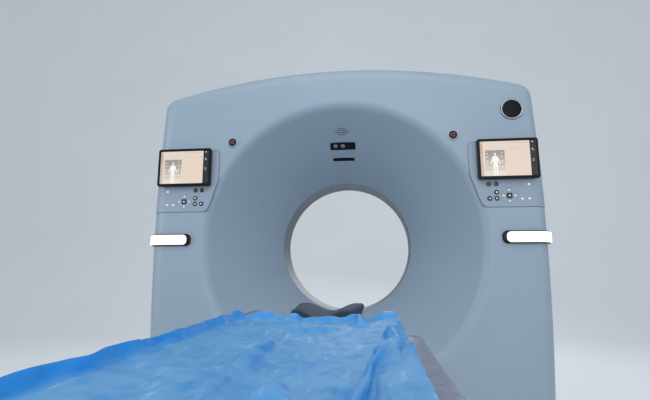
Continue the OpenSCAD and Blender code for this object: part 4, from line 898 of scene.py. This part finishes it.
# Table, in metres over the floor; Y runs towards the gantry
table = {"half": 0.270, "head": -1.312, "length": 2.400, "shoulder": 0.715, "low": 0.585, "corner": 0.110,
         "keel": 0.055, "round": 0.016, "channel": 0.222, "channelLow": 0.635, "wall": 0.004}
tableWhite = solidFinish("table_white", (128, 136, 150), 0.4, 0.02, 3.0, 1400.0, 0.00002)
shroudPale = solidFinish("shroud_pale", (134, 143, 156), 0.48, 0.03, 5.0, 1200.0, 0.00003)
cradleGrey = solidFinish("cradle_grey", (110, 121, 142), 0.45, 0.04, 14.0, 700.0, 0.00003, specular=0.3)
padDark = solidFinish("pad_dark", (66, 73, 84), 0.5, 0.08, 10.0, 520.0, 0.00012, swell=(40.0, 0.0003))
holderGrey = solidFinish("holder_grey", (54, 69, 86), 0.7, 0.05, 16.0, 900.0, 0.00004, specular=0.12)


# Plan of the table's body grown by g: a rectangle whose corners are quarter circles
def bodyPlan(g):
    w, l, r = 2 * (table["half"] + g), table["length"] + 2 * g, table["corner"] + g
    return roundRect(w, l, r, 12) + [0, table["head"] - table["length"] / 2]


t = table
keelTurn = quarterTurn(9)
profile = [(t["keel"] * (math.sin(a) - 1), t["low"] + t["keel"] * (1 - math.cos(a))) for a in keelTurn]
profile += [(0, t["low"] + (t["shoulder"] - t["low"]) * 0.6)]
profile += [(t["round"] * (math.cos(a) - 1), t["shoulder"] - t["round"] * (1 - math.sin(a)))
            for a in keelTurn]
shellMesh = ringMesh("shell", [level(bodyPlan(g), z) for g, z in profile], capFirst=True, capLast=True)
channel = bpy.data.meshes.new("channel")
box = bmesh.new()
channelPlace = Matrix.Translation((0, t["head"] - t["length"] / 2, t["channelLow"] + 0.1))
channelSize = Matrix.Diagonal((2 * t["channel"], 3.0, 0.2, 1))
bmesh.ops.create_cube(box, size=1.0, matrix=channelPlace @ channelSize)
box.to_mesh(channel)
box.free()
addPiece("table_body_shell", shellMesh, tableWhite, ["table_shell"], body="table_top",
         wall=t["wall"], cut=looseObject("channel", channel), bevel=0.0015)

# Liner of the channel between the shoulders, a folded sheet
lip = 0.0015
liner = [(-t["channel"] + lip, t["shoulder"] - 0.004), (-t["channel"] + lip, t["channelLow"] + 0.014)]
liner += [(-t["channel"] + lip + 0.012 * (1 - math.cos(a)),
           t["channelLow"] + 0.002 + 0.012 * (1 - math.sin(a)))
          for a in quarterTurn(6)]
liner = np.array(liner)
liner = np.vstack([liner, (liner * [-1, 1])[::-1]])
linerRings = [alongY(liner, y) for y in (t["head"] - 0.024, t["head"] - t["length"] + 0.024)]
addPiece("table_channel_liner", ringMesh("liner", linerRings, closed=False, flip=True), shroudPale,
         body="table_top", wall=0.002)


# Telescopic shrouds: rounded rectangular sleeves with a rolled lower edge
lift = {"middleY": table["head"] - table["length"] / 2, "half": 0.205, "length": 1.180, "corner": 0.045,
        "wall": 0.004, "inset": 0.007}


def sleeveMesh(inset, low, high, deck):
    wall, w, l = lift["wall"], 2 * (lift["half"] - inset), lift["length"] - 2 * inset
    profile = [(wall, low), (0.0008, low), (0, low + 0.0008), (0, low + 0.010), (0.0006, low + 0.0108),
               (0.0006, high - 0.0015), (0.0021, high)]
    profile += [(0.040, high), (0.040, high - 0.002), (wall, high - 0.002)] if deck else [(wall, high)]
    rings = []
    for step, z in profile:
        path = roundRect(w - 2 * step, l - 2 * step, lift["corner"] - inset - step + 0.001, 10)
        rings.append(level(path + [0, lift["middleY"]], z))
    return ringMesh("sleeve", rings, cycle=True)


for name, body, inset, low, high, deck, material in (
        ("upper", "table_top", 0.0, 0.340, 0.5848, False, tableWhite),
        ("middle", "lift_middle", lift["inset"], 0.160, 0.446, True, shroudPale),
        ("base", "gantry", 2 * lift["inset"], 0.020, 0.320, False, shroudPale)):
    addPiece(name + "_shroud_sleeve", sleeveMesh(inset, low, high, deck), material, [name + "_shroud"],
             body=body)

# Cradle: a shell round the bore axis, cut off level with its rim
cradle = {"radius": 0.334, "thick": 0.020, "rim": 0.258, "head": -1.172, "length": 2.450}


# Arc below the axis from the rim on one side to the rim on the other
def lowArc(r, drop, count, turn=1):
    reach = math.acos(drop / r)
    a = np.linspace(-reach, reach, count)[::turn]
    return np.column_stack([r * np.sin(a), axisZ - r * np.cos(a)])


c = cradle
section = np.vstack([lowArc(c["radius"], c["rim"], 40), lowArc(c["radius"] - c["thick"], c["rim"], 40, -1)])
ys = [c["head"] - c["length"], c["head"] - c["length"] / 2, c["head"]]
addPiece("cradle_shell", ringMesh("cradle", [alongY(section, y) for y in ys[::-1]], capFirst=True,
                                  capLast=True),
         cradleGrey, ["cradle"], body="cradle_carriage", bevel=0.004)

# Pad: a filled sleeve that lies in the cradle, its top a little crowned
pad = {"radius": 0.3137, "top": 0.2717, "half": 0.1694, "edge": 0.264, "head": -1.246, "length": 2.300}


def padZ(x):
    return axisZ - pad["top"] + (pad["top"] - pad["edge"]) * (x / pad["half"]) ** 2


p = pad
rows = []
start = np.array([0, 0.002, 0.007, 0.016, 0.03])
ends = np.concatenate([start, np.linspace(0.07, p["length"] - 0.07, 60), p["length"] - start[::-1]])
nearEnd = np.clip(np.minimum(ends, p["length"] - ends) / 0.03, 0, 1)
thick = 0.60 + 0.40 * np.sqrt(1 - (1 - nearEnd) ** 2)          # a quarter ellipse rounds both ends
across = np.linspace(-1, 1, 41)
for y, share in zip(ends, thick):
    x = across * (p["half"] - 0.0035)
    under = axisZ - np.sqrt((p["radius"] - 0.0004) ** 2 - x ** 2)
    wave = 0.0008 * np.sin(across * 9 + y * 13) + 0.0006 * np.sin(across * 4 - y * 31)
    over = under + (padZ(x) - 0.0012 + wave * (1 - across ** 2) - under) * share
    ring = np.vstack([np.column_stack([x, over]), np.column_stack([x, under])[::-1]])
    rows.append(alongY(ring, p["head"] - y))
padPiece = addPiece("cradle_pad_cushion", tidied(ringMesh("pad", rows, capFirst=True, capLast=True)),
                    padDark, ["cradle_pad"], body="cradle_carriage", angle=60)

# Head holder: a saddle with two rounded lobes and a shallow valley between them
holder = {"half": 0.116, "lobe": 0.2515, "valley": 0.0265, "valleyHalf": 0.088, "low": 0.3137,
          "head": -0.912, "length": 0.330, "foot": 0.104, "taper": 0.22, "corner": 0.012, "centre": 0.29}


def holderSection(shrink, narrow=0.0):
    h = holder
    r = h["corner"]
    x = np.linspace(-1, 1, 60) * (h["half"] - r)
    dip = h["valley"] * np.cos(np.clip(np.abs(x) / h["valleyHalf"], 0, 1) * math.pi / 2) ** 2
    top = np.column_stack([x, axisZ - h["lobe"] - dip])
    a = np.linspace(math.pi / 2, 0, 8)[1:]
    right = np.column_stack([h["half"] - r + r * np.cos(a), axisZ - h["lobe"] - r + r * np.sin(a)])
    low = np.linspace(1, -1, 40) * h["foot"]
    foot = np.column_stack([low, axisZ - np.sqrt((h["low"] - 0.0004) ** 2 - low ** 2)])
    left = right[::-1] * [-1, 1]
    ring = np.vstack([top, right, foot, left])
    centre = np.array([0, axisZ - h["centre"]])
    ring[:, 0] *= 1 - narrow
    return centre + (ring - centre) * (1 - shrink * np.array([0.05, 0.12]))


h = holder
steps = [(0, 1.0), (0.0015, 0.5), (0.006, 0.12), (0.012, 0)]
steps += [(y, 0) for y in np.linspace(0.03, h["length"] - 0.03, 14)]
steps += [(h["length"] - 0.012, 0.15), (h["length"] - 0.004, 0.5), (h["length"], 1.0)]
holderRings = [alongY(holderSection(shrink, h["taper"] * (1 - math.cos(math.pi * y / h["length"])) / 2),
                      h["head"] - y) for y, shrink in steps]
addPiece("head_holder_saddle", ringMesh("holder", holderRings, capFirst=True, capLast=True, flip=True),
         holderGrey, ["head_holder"], body="cradle_carriage")
print("table ready")

# Drape: a thin blue sheet. Each fold: its course as (x, y) points, its height and its half width
drape = {"half": 0.199, "edge": 0.2102, "head": -1.374, "length": 1.496, "width": 0.472, "cut": 1.516,
         "across": 58, "along": 190, "gap": 0.0012, "between": 0.005,
         "reach": 0.211, "seed": 7, "waves": 14, "frames": 36, "stiff": 20, "bend": 0.25, "folds": [
             ([(-0.182, -1.37), (-0.184, -1.80), (-0.180, -2.30), (-0.184, -2.90)], 0.019, 0.0085),
             ([(0.022, -2.32), (0.004, -2.14), (-0.018, -1.98), (-0.012, -1.80)], 0.021, 0.013),
             ([(-0.088, -2.20), (-0.052, -2.06), (-0.020, -1.92), (0.020, -1.66)], 0.009, 0.012),
             ([(0.047, -2.10), (0.058, -2.07)], 0.016, 0.020),
             ([(0.200, -1.42), (0.182, -1.72), (0.153, -1.98), (0.134, -2.22), (0.125, -2.90)], 0.020,
              0.0085),
             ([(0.194, -1.62), (0.178, -1.86), (0.159, -2.14), (0.156, -2.90)], 0.017, 0.0080),
             ([(-0.135, -1.397), (-0.080, -1.392), (-0.045, -1.400)], 0.030, 0.019),
             ([(-0.194, -1.386), (-0.150, -1.392)], 0.024, 0.016),
             ([(0.100, -1.385), (0.122, -1.420), (0.124, -1.500)], 0.024, 0.014),
             ([(0.165, -1.387), (0.196, -1.396)], 0.024, 0.015),
             ([(-0.035, -1.390), (0.030, -1.397), (0.100, -1.392)], 0.020, 0.014),
             ([(-0.030, -1.56), (0.025, -1.60), (0.075, -1.58)], 0.014, 0.010),
             ([(-0.130, -1.52), (-0.070, -1.62), (-0.030, -1.74)], 0.008, 0.010),
             ([(-0.06, -2.45), (0.06, -2.60), (0.10, -2.85)], 0.015, 0.014),
             ([(-0.13, -2.85), (-0.05, -2.66), (-0.08, -2.40)], 0.012, 0.012)]}


# Height under the drape: the crowned pad, a step up to the cradle's rim, and the fall outside it
def bedZ(x):
    a = np.abs(x)
    rim = axisZ - cradle["rim"]
    out = np.interp(a, [pad["half"], pad["half"] + 0.012, 0.2115, 0.216, 0.24],
                    [rim - 0.0062, rim, rim, rim - 0.006, rim - 0.045])
    return np.where(a < pad["half"], padZ(x), out)


# Distance from points to a row of segments: to each one's nearest point, and the least of these
def courseDistance(x, y, course):
    best = np.full(x.shape, 9.0)
    for (x0, y0), (x1, y1) in zip(course, course[1:]):
        dx, dy = x1 - x0, y1 - y0
        share = np.clip(((x - x0) * dx + (y - y0) * dy) / (dx * dx + dy * dy), 0, 1)
        best = np.minimum(best, np.hypot(x - x0 - share * dx, y - y0 - share * dy))
    return best


# Height of the folds: each is a bell over its half width, and a sum of slow waves crosses them
def foldHeight(x, y):
    total = np.zeros(x.shape)
    for course, high, half in drape["folds"]:
        bell = high * np.exp(-(courseDistance(x, y, course) / half) ** 2)
        total = np.maximum(total, bell) + 0.25 * np.minimum(total, bell)
    dice = np.random.default_rng(drape["seed"])
    for k in range(drape["waves"]):
        turn, wave = dice.uniform(-0.5, 1.1), dice.uniform(0.022, 0.085)
        run = (x * math.cos(turn) + y * math.sin(turn)) * 2 * math.pi / wave + dice.uniform(0, 6.3)
        size = 0.0045 * wave + 0.0001
        total = total + size * (1 + np.sin(run + 1.4 * np.sin(run * 0.31 + k)))
    return total


# Start of the drape: rows across the bed, each walked at an even pace along its folded length
def drapeStart():
    d = drape
    v = np.linspace(0, 1, d["along"] + 1)
    fine = np.linspace(-1, 1, 900)
    rows = []
    for share in v:
        y = np.full(fine.shape, d["head"] - d["length"] * share)
        end = min(share, 1 - share)
        half = d["half"] * (0.955 + 0.045 * min(1, end * 9)) + 0.0015 * math.sin(share * 61)
        x = fine * half
        z = bedZ(x) + foldHeight(x, y) * (0.5 + 0.5 * min(1, end * 60))
        walked = np.concatenate([[0], np.cumsum(np.hypot(np.diff(x), np.diff(z)))])
        even = np.linspace(0, walked[-1], d["across"] + 1)
        wave = 0.006 * np.sin(fine * 7 + 2) * (1 - min(1, end * 20))
        rows.append(np.column_stack([np.interp(even, walked, x), np.interp(even, walked, y + wave),
                                     np.interp(even, walked, z) + 0.002]))
    return np.array(rows)


def gridFaces(rows, columns):
    a = (np.arange(rows - 1)[:, None] * columns + np.arange(columns - 1)[None, :]).ravel()
    return np.column_stack([a, a + columns, a + columns + 1, a + 1])


def gridMesh(name, points):
    rows, columns = points.shape[:2]
    mesh = bpy.data.meshes.new(name)
    mesh.from_pydata(points.reshape(-1, 3).tolist(), [], gridFaces(rows, columns).tolist())
    mesh.update()
    return mesh


# Settles a cloth over a bed. The sheet's flat size is its shape at rest; frames are stepped in turn
def settleCloth(piece, flatPoints, bed, frames, stiff, bend):
    piece.shape_key_add(name="laid")
    flatKey = piece.shape_key_add(name="flat")
    flatKey.data.foreach_set("co", flatPoints.astype(float).ravel())
    collider = looseObject("bed", bed)
    collider.modifiers.new("Collision", "COLLISION")
    collider.collision.thickness_outer = drape["gap"]
    collider.collision.cloth_friction = 40
    cloth = piece.modifiers.new("Cloth", "CLOTH")
    s, c = cloth.settings, cloth.collision_settings
    s.quality, s.mass, s.air_damping = 7, 0.02, 2.0
    s.tension_stiffness = s.compression_stiffness = stiff
    s.shear_stiffness, s.bending_stiffness = stiff * 0.3, bend
    s.tension_damping = s.compression_damping = s.shear_damping = 12
    s.bending_damping = 1.5
    s.rest_shape_key = flatKey
    c.distance_min, c.collision_quality, c.friction = drape["gap"], 3, 30
    c.use_self_collision, c.self_distance_min = True, drape["gap"]
    cloth.point_cache.frame_start, cloth.point_cache.frame_end = 1, frames
    scene = bpy.context.scene
    for frame in range(1, frames + 1):
        scene.frame_set(frame)
    settled = bpy.data.meshes.new_from_object(piece.evaluated_get(bpy.context.evaluated_depsgraph_get()))
    scene.frame_set(1)
    bpy.data.objects.remove(collider)
    bpy.data.objects.remove(piece)
    return settled


d = drape
laid = drapeStart()
over, down = np.meshgrid(np.linspace(-1, 1, d["across"] + 1) * d["width"] / 2,
                         -np.linspace(0, 1, d["along"] + 1) * d["cut"])
flatPoints = np.stack([over, down, np.zeros(over.shape)], axis=-1)
bed = {"half": 0.235, "head": -1.25, "foot": -3.0, "across": 95, "along": 60}
bedX, bedY = np.meshgrid(np.linspace(-bed["half"], bed["half"], bed["across"]),
                         np.linspace(bed["head"], bed["foot"], bed["along"]))
bedMesh = gridMesh("bed", np.stack([bedX, bedY, bedZ(bedX)], axis=-1))
drapeMesh = settleCloth(looseObject("drape", gridMesh("drape", laid)), flatPoints, bedMesh,
                        d["frames"], d["stiff"], d["bend"])
count = len(drapeMesh.vertices)
points = np.empty(count * 3)
drapeMesh.vertices.foreach_get("co", points)
points = points.reshape(-1, 3)

# The long edges end in nearly straight lines: each column moves towards its side's line by the fourth
# power of its share of the half width
grid = points.reshape(d["along"] + 1, d["across"] + 1, 3)
spread = np.linspace(-1, 1, d["across"] + 1)
missing = np.where(spread < 0, -d["edge"] - grid[:, :1, 0], d["edge"] - grid[:, -1:, 0])
grid[:, :, 0] += missing * spread ** 4

# It stays over the bed between its points too, so the bed counts with its higher side
bedUnder = np.maximum(bedZ(points[:, 0] - d["between"]), bedZ(points[:, 0] + d["between"]))
points[:, 2] = np.maximum(points[:, 2], bedUnder + d["gap"])
points[:, 0] = np.clip(points[:, 0], -d["reach"], d["reach"])
drapeMesh.vertices.foreach_set("co", points.ravel())
normals = np.empty(count * 3)
drapeMesh.vertex_normals.foreach_get("vector", normals)
# Deeper blue on the drape: painted shade where the sheet stands steep in its folds, more where it also
# rises off the bed, and the real double layer of the rolled hem on the left
rise = np.clip((points[:, 2] - bedUnder) / 0.02, 0, 1)
steepFoldShade = np.clip((1 - np.abs(normals.reshape(-1, 3)[:, 2])) * 1.6, 0, 1)
layer = np.clip(0.6 * steepFoldShade + 0.4 * rise * steepFoldShade + 0.9 * np.exp(-((points[:, 0] + 0.188) / 0.018) ** 2),
                0, 1)
drapeMesh.attributes.new("layer", "FLOAT", "POINT").data.foreach_set("value", layer)
print("drape settled, highest point", round(points[:, 2].max(), 4))


# Drape's finish: blue, deeper where it lies double and deeper again as painted shade where its folds stand
# steep, with fine creases that run aslant
def drapeFinish():
    f = Finish("drape_blue")
    foldShadeAndLayers = f.add("Attribute", {"attribute_name": "layer"}, output=2)
    cloud = f.noise(9.0, 3.0)
    patch = f.noise(31.0, 4.0)
    crease = (f.noise(46.0, 6.0, (1.0, 0.22, 1.0), 0.62) - 0.5) * 2
    crease = crease * crease
    crumple = (f.noise(95.0, 5.0, (1.0, 0.55, 1.0), 0.6) - 0.5) * 2
    crumple = crumple * crumple
    fine = f.noise(230.0, 4.0, (1.0, 0.3, 1.0), 0.6)
    pale = f.mix((cloud * 1.8 - 0.4).clip(), tint(84, 146, 196), tint(104, 160, 206))
    worn = f.mix((patch * 3 - 1.35).clip(), pale, tint(64, 138, 198))
    streak = f.mix((crease * 12 - 0.6).clip(), worn, tint(124, 176, 216))
    shade = f.mix((foldShadeAndLayers * 1.1).clip(), streak, tint(16, 126, 206))
    normal = f.bump(fine, 0.0006, 0.6, f.bump(crumple, 0.0024, 0.7, f.bump(crease, 0.0045, 0.8)))
    return f.close({"Base Color": shade, "Normal": normal, "Roughness": (patch * 0.2 + 0.45).clip(),
                    "Specular IOR Level": 0.35, "Coat Weight": 0.05, "Coat Roughness": 0.3})


drapePiece = addPiece("table_drape", drapeMesh, drapeFinish(), ["drape"], body="cradle_carriage")
addModifier(drapePiece, "SUBSURF", levels=1, render_levels=1)
print("drape ready")

# Clear film over each shoulder of the table, from low on the side over the round to the channel
film = {"off": 0.0007, "low": 0.629, "back": -2.806, "front": -1.366, "inner": 0.2237, "wrinkle": 0.0011,
        "along": 420, "seed": 3, "waves": 9, "flat": (0.131, 1.442)}


# Outline of the right shoulder by distance from the back: a straight side, then a quarter circle.
# Gives the points, the directions outwards and the depth inwards to the channel
def filmCourse(count):
    t = table
    reach = math.asin((film["front"] - t["head"] + t["corner"]) / t["corner"])
    straight = t["head"] - t["corner"] - film["back"]
    s = np.linspace(0, straight + t["corner"] * reach, count)
    a = np.clip((s - straight) / t["corner"], 0, None)
    x = t["half"] - t["corner"] + t["corner"] * np.cos(a)
    y = film["back"] + np.minimum(s, straight) + t["corner"] * np.sin(a)
    return s, x, y, np.cos(a), np.sin(a), (x - film["inner"]) / np.cos(a)


# Film surface: up the side, round the shoulder by a quarter circle, then inwards. It stands off by a
# little, more where short wrinkles cross it near its front edge and along one long soft crease
def filmMesh(name, side, seed):
    t, f = table, film
    s, x, y, outX, outY, depth = filmCourse(f["along"])
    turn = quarterTurn(9)
    inward = np.concatenate([np.zeros(14), t["round"] * (1 - np.cos(turn[1:])), np.linspace(0, 1, 10)[1:]])
    flat = np.concatenate([np.zeros(22), np.linspace(0, 1, 10)[1:]])
    high = np.concatenate([np.linspace(f["low"], t["shoulder"] - t["round"], 14),
                           t["shoulder"] - t["round"] * (1 - np.sin(turn[1:])), np.full(9, t["shoulder"])])
    lean = np.concatenate([np.zeros(14), turn[1:], np.full(9, math.pi / 2)])
    deep = np.where(flat[None, :] > 0, t["round"] + flat[None, :] * (depth[:, None] - t["round"]),
                    inward[None, :])
    dice = np.random.default_rng(seed)
    wave = np.zeros(deep.shape)
    for k in range(f["waves"]):
        tilt, pitch = dice.uniform(-0.9, 0.9), dice.uniform(0.012, 0.05)
        wave += pitch * 0.6 * np.sin((s[:, None] + tilt * (deep - high[None, :])) * 2 * math.pi / pitch
                                     + dice.uniform(0, 6.3))
    front = np.exp(-((s[-1] - s[:, None] - 0.035) / 0.045) ** 2)
    pleat = front * (0.5 + 0.5 * np.sin((s[:, None] - 0.5 * deep) * 2 * math.pi / 0.013)) ** 3
    crease = np.exp(-((deep - 0.010 - 0.004 * np.sin(s[:, None] * 9)) / 0.0035) ** 2)
    off = f["off"] + f["wrinkle"] * np.clip(0.35 + 0.028 * wave * 30 + 1.3 * pleat + 0.5 * crease, 0, 2.2)
    px = (x[:, None] - outX[:, None] * deep + outX[:, None] * off * np.cos(lean)) * side
    py = y[:, None] - outY[:, None] * deep + outY[:, None] * off * np.cos(lean)
    points = np.stack([px, py, high[None, :] + off * np.sin(lean)[None, :]], axis=-1)
    if side < 0:
        points = points[:, ::-1]
    return gridMesh(name, points)


def filmFinish():
    f = Finish("film_clear")
    cloud = f.noise(18.0, 4.0)
    crease = (f.noise(60.0, 5.0, (1.0, 0.35, 1.0), 0.6) - 0.5) * 2
    fine = f.noise(300.0, 3.0, (1.0, 0.5, 1.0))
    normal = f.bump(fine, 0.0003, 0.5, f.bump(crease * crease, 0.0014, 0.6))
    return f.close({"Base Color": f.mix(cloud.clip(), tint(146, 152, 176), tint(174, 178, 200)),
                    "Roughness": (cloud * 0.2 + 0.16).clip(), "Alpha": (cloud * 0.3 + 0.42).clip(),
                    "Normal": normal, "Specular IOR Level": 0.7})


clearFilm = filmFinish()
for side, word in sides:
    wrap = filmMesh("film_" + word, side, film["seed"] + side)
    sheet = addPiece("clear_film_" + word, wrap, clearFilm, ["clear_cover"] if side > 0 else (),
                     body="table_top", angle=80)
print("film ready")

# Inner and lower pieces: finishes, and for each solid its body, its finish, the rounding of its edges and
# its slot, where that isn't the finish's name
bearingSteel = turnedMetal("machined_steel", (176, 180, 186), 0.32, (1.0, 0.05, 1.0))
ballSteel = turnedMetal("ball_steel", (206, 209, 213), 0.16)
rotorAlloy = turnedMetal("rotor_alloy", (178, 182, 187), 0.42, (1.0, 0.1, 1.0))
tubeAlloy = turnedMetal("tube_alloy", (196, 198, 203), 0.36, (1.0, 0.08, 1.0))
leadGrey = solidFinish("lead_grey", (70, 74, 80), 0.6, 0.08, 18.0, 500.0, 0.00012)
detectorGreen = solidFinish("detector_green", (58, 84, 74), 0.5, 0.06, 14.0, 700.0, 0.00005)
generatorBeige = solidFinish("generator_beige", (196, 190, 168), 0.55, 0.03, 8.0, 420.0, 0.00012)
coolerAlloy = turnedMetal("cooler_alloy", (150, 156, 163), 0.45)
slipBrass = turnedMetal("slip_brass", (196, 162, 98), 0.28, (1.0, 0.05, 1.0))
motorGrey = solidFinish("motor_grey", (84, 90, 98), 0.55, 0.05, 16.0, 380.0, 0.00015)
beltRubber = solidFinish("belt_rubber", (22, 22, 24), 0.7, 0.12, 30.0, 600.0, 0.00010)
columnSteel = turnedMetal("column_steel", (186, 190, 196), 0.22, (0.2, 0.2, 1.0))
brushDark = solidFinish("brush_dark", (36, 38, 42), 0.5, 0.08, 20.0, 700.0, 0.00006)
dressed = [
    ("base_frame", "gantry", framePaint, 0.0030),
    ("stator_frame", "gantry", framePaint, 0.0030),
    ("bearing_race", "gantry", bearingSteel, 0.0012),
    ("bearing_balls", "gantry", ballSteel, 0),
    ("rotor_drum", "rotor", rotorAlloy, 0.0018),
    ("xray_tube", "rotor", tubeAlloy, 0.0015),
    ("tube_collimator", "rotor", leadGrey, 0.0020),
    ("detector_array", "rotor", detectorGreen, 0.0008),
    ("generator", "rotor", generatorBeige, 0.0020),
    ("heat_exchanger", "rotor", coolerAlloy, 0.0012),
    ("slip_ring", "rotor", slipBrass, 0.0006),
    ("brush_block", "gantry", brushDark, 0.0015, "lead_grey"),
    ("drive_motor", "gantry", motorGrey, 0.0012),
    ("motor_pulley", "pulley", bearingSteel, 0.0010),
    ("drive_belt", "gantry", beltRubber, 0.0008),
    ("table_base", "gantry", framePaint, 0.0030),
    ("lift_columns_fixed", "gantry", columnSteel, 0.0010, "machined_steel"),
    ("lift_columns_middle", "lift_middle", columnSteel, 0.0010, "machined_steel"),
    ("lift_columns_top", "table_top", columnSteel, 0.0010, "machined_steel"),
    ("table_frame", "table_top", framePaint, 0.0018, "machined_steel")]


# A solid's copy with its triangles merged into faces and its edges rounded
def dressSolid(node, body, material, bevel, slot=None):
    mesh = frame["nodes"][node].data.copy()
    work = bmesh.new()
    work.from_mesh(mesh)
    bmesh.ops.remove_doubles(work, verts=work.verts, dist=0.00001)
    bmesh.ops.dissolve_limit(work, angle_limit=math.radians(0.6), verts=work.verts, edges=work.edges)
    work.to_mesh(mesh)
    work.free()
    mesh.materials.clear()
    addPiece(node + "_body", mesh, material, [node], body=body, bevel=bevel, angle=32)


for row in dressed:
    dressSolid(*row)
print("inner pieces ready")


# Socket screws: a head whose recess has six sides, turned round its own axis
def screwMesh(place, r, h):
    rings = []
    for radius, z, sides in ((r, 0, 24), (r, h * 0.85, 24), (r * 0.9, h, 24), (r * 0.5, h, 6),
                             (r * 0.5, h * 0.45, 6)):
        a = np.arange(24) * 2 * math.pi / 24
        edge = radius if sides == 24 else radius / np.cos((a + math.pi / 6) % (math.pi / 3) - math.pi / 6)
        ring = np.column_stack([edge * np.cos(a), edge * np.sin(a), np.full(24, z)])
        rings.append(ring @ np.array(place.to_3x3()).T + np.array(place.translation))
    return ringMesh("screw", rings, capFirst=True, capLast=True)


def screwCircle(name, count, radius, y, r, h, body, start=0.0):
    heads = []
    for k in range(count):
        a = start + 2 * math.pi * k / count
        place = Matrix.Translation((radius * math.cos(a), y, axisZ + radius * math.sin(a)))
        heads.append(screwMesh(place @ Matrix.Rotation(-math.pi / 2 if h > 0 else math.pi / 2, 4, "X"), r,
                               abs(h)))
    return addPiece(name, tidied(joined(name, heads)), bearingSteel, body=body)


screwCircle("race_screws", 24, 0.5375, 0.187, 0.009, 0.010, "gantry", 0.13)
screwCircle("disc_screws", 12, 0.735, 0.060, 0.010, -0.010, "rotor", math.pi / 12)
print("screws ready")

# Floor and backdrop: pale, and a little paler still to the camera and in reflections
def floorFinish():
    f = Finish("floor_pale")
    cloud = f.noise(0.8, 3.0)
    seen = f.add("LightPath", output="Is Camera Ray") + f.add("LightPath", output="Is Glossy Ray")
    seen = (seen + f.add("LightPath", output="Is Transmission Ray")).clip()
    shade = f.mix(cloud, tint(206, 211, 216), tint(214, 218, 222))
    return f.close({"Base Color": shade, "Roughness": 0.75, "Emission Color": shade,
                    "Emission Strength": seen * 0.3})


stage = {"half": 9.0, "wallY": 5.2, "height": 7.0, "bend": 1.6}
bend = quarterTurn(16)
floorPath = np.vstack([[[-stage["half"], 0]],
                       np.column_stack([stage["wallY"] - stage["bend"] + stage["bend"] * np.sin(bend),
                                        stage["bend"] * (1 - np.cos(bend))]),
                       [[stage["wallY"], stage["height"]]]])
floorRings = [np.column_stack([np.full(len(floorPath), x), floorPath])
              for x in (-stage["half"], stage["half"])]
floorMesh = ringMesh("floor", floorRings, closed=False, flip=True)
floorMesh.materials.append(floorFinish())
floor = looseObject("floor", floorMesh)
floor.data.shade_smooth()

# Soft studio light: a wide lamp before the object, one above it, a fill from each side, a pale world
lamps = {
    "front": {"place": (0.5, -5.4, 1.9), "aim": (0, -0.5, 1.0), "size": 3.4, "power": 58},
    "top": {"place": (0.0, -2.4, 3.8), "aim": (0, -0.8, 0.8), "size": 3.4, "power": 50},
    "left": {"place": (-3.6, -2.4, 1.9), "aim": (0, -0.4, 1.0), "size": 2.6, "power": 40},
    "right": {"place": (3.6, -2.4, 1.9), "aim": (0, -0.4, 1.0), "size": 2.6, "power": 26},
    "back": {"place": (0.5, 3.8, 3.0), "aim": (0, 0, 1.0), "size": 3.0, "power": 60}}
for name, lamp in lamps.items():
    data = bpy.data.lights.new("lamp_" + name, "AREA")
    data.shape = "DISK"
    data.size = lamp["size"]
    data.energy = lamp["power"]
    light = bpy.data.objects.new("lamp_" + name, data)
    light.location = lamp["place"]
    light.visible_camera = False
    light.rotation_euler = (Vector(lamp["aim"]) - Vector(lamp["place"])).to_track_quat("-Z", "Y").to_euler()
    bpy.context.scene.collection.objects.link(light)
world = bpy.data.worlds.new("studio")
world.use_nodes = True
world.node_tree.nodes["Background"].inputs["Color"].default_value = tint(206, 214, 222)
world.node_tree.nodes["Background"].inputs["Strength"].default_value = 0.6
bpy.context.scene.world = world
bpy.context.scene.view_settings.view_transform = "Standard"
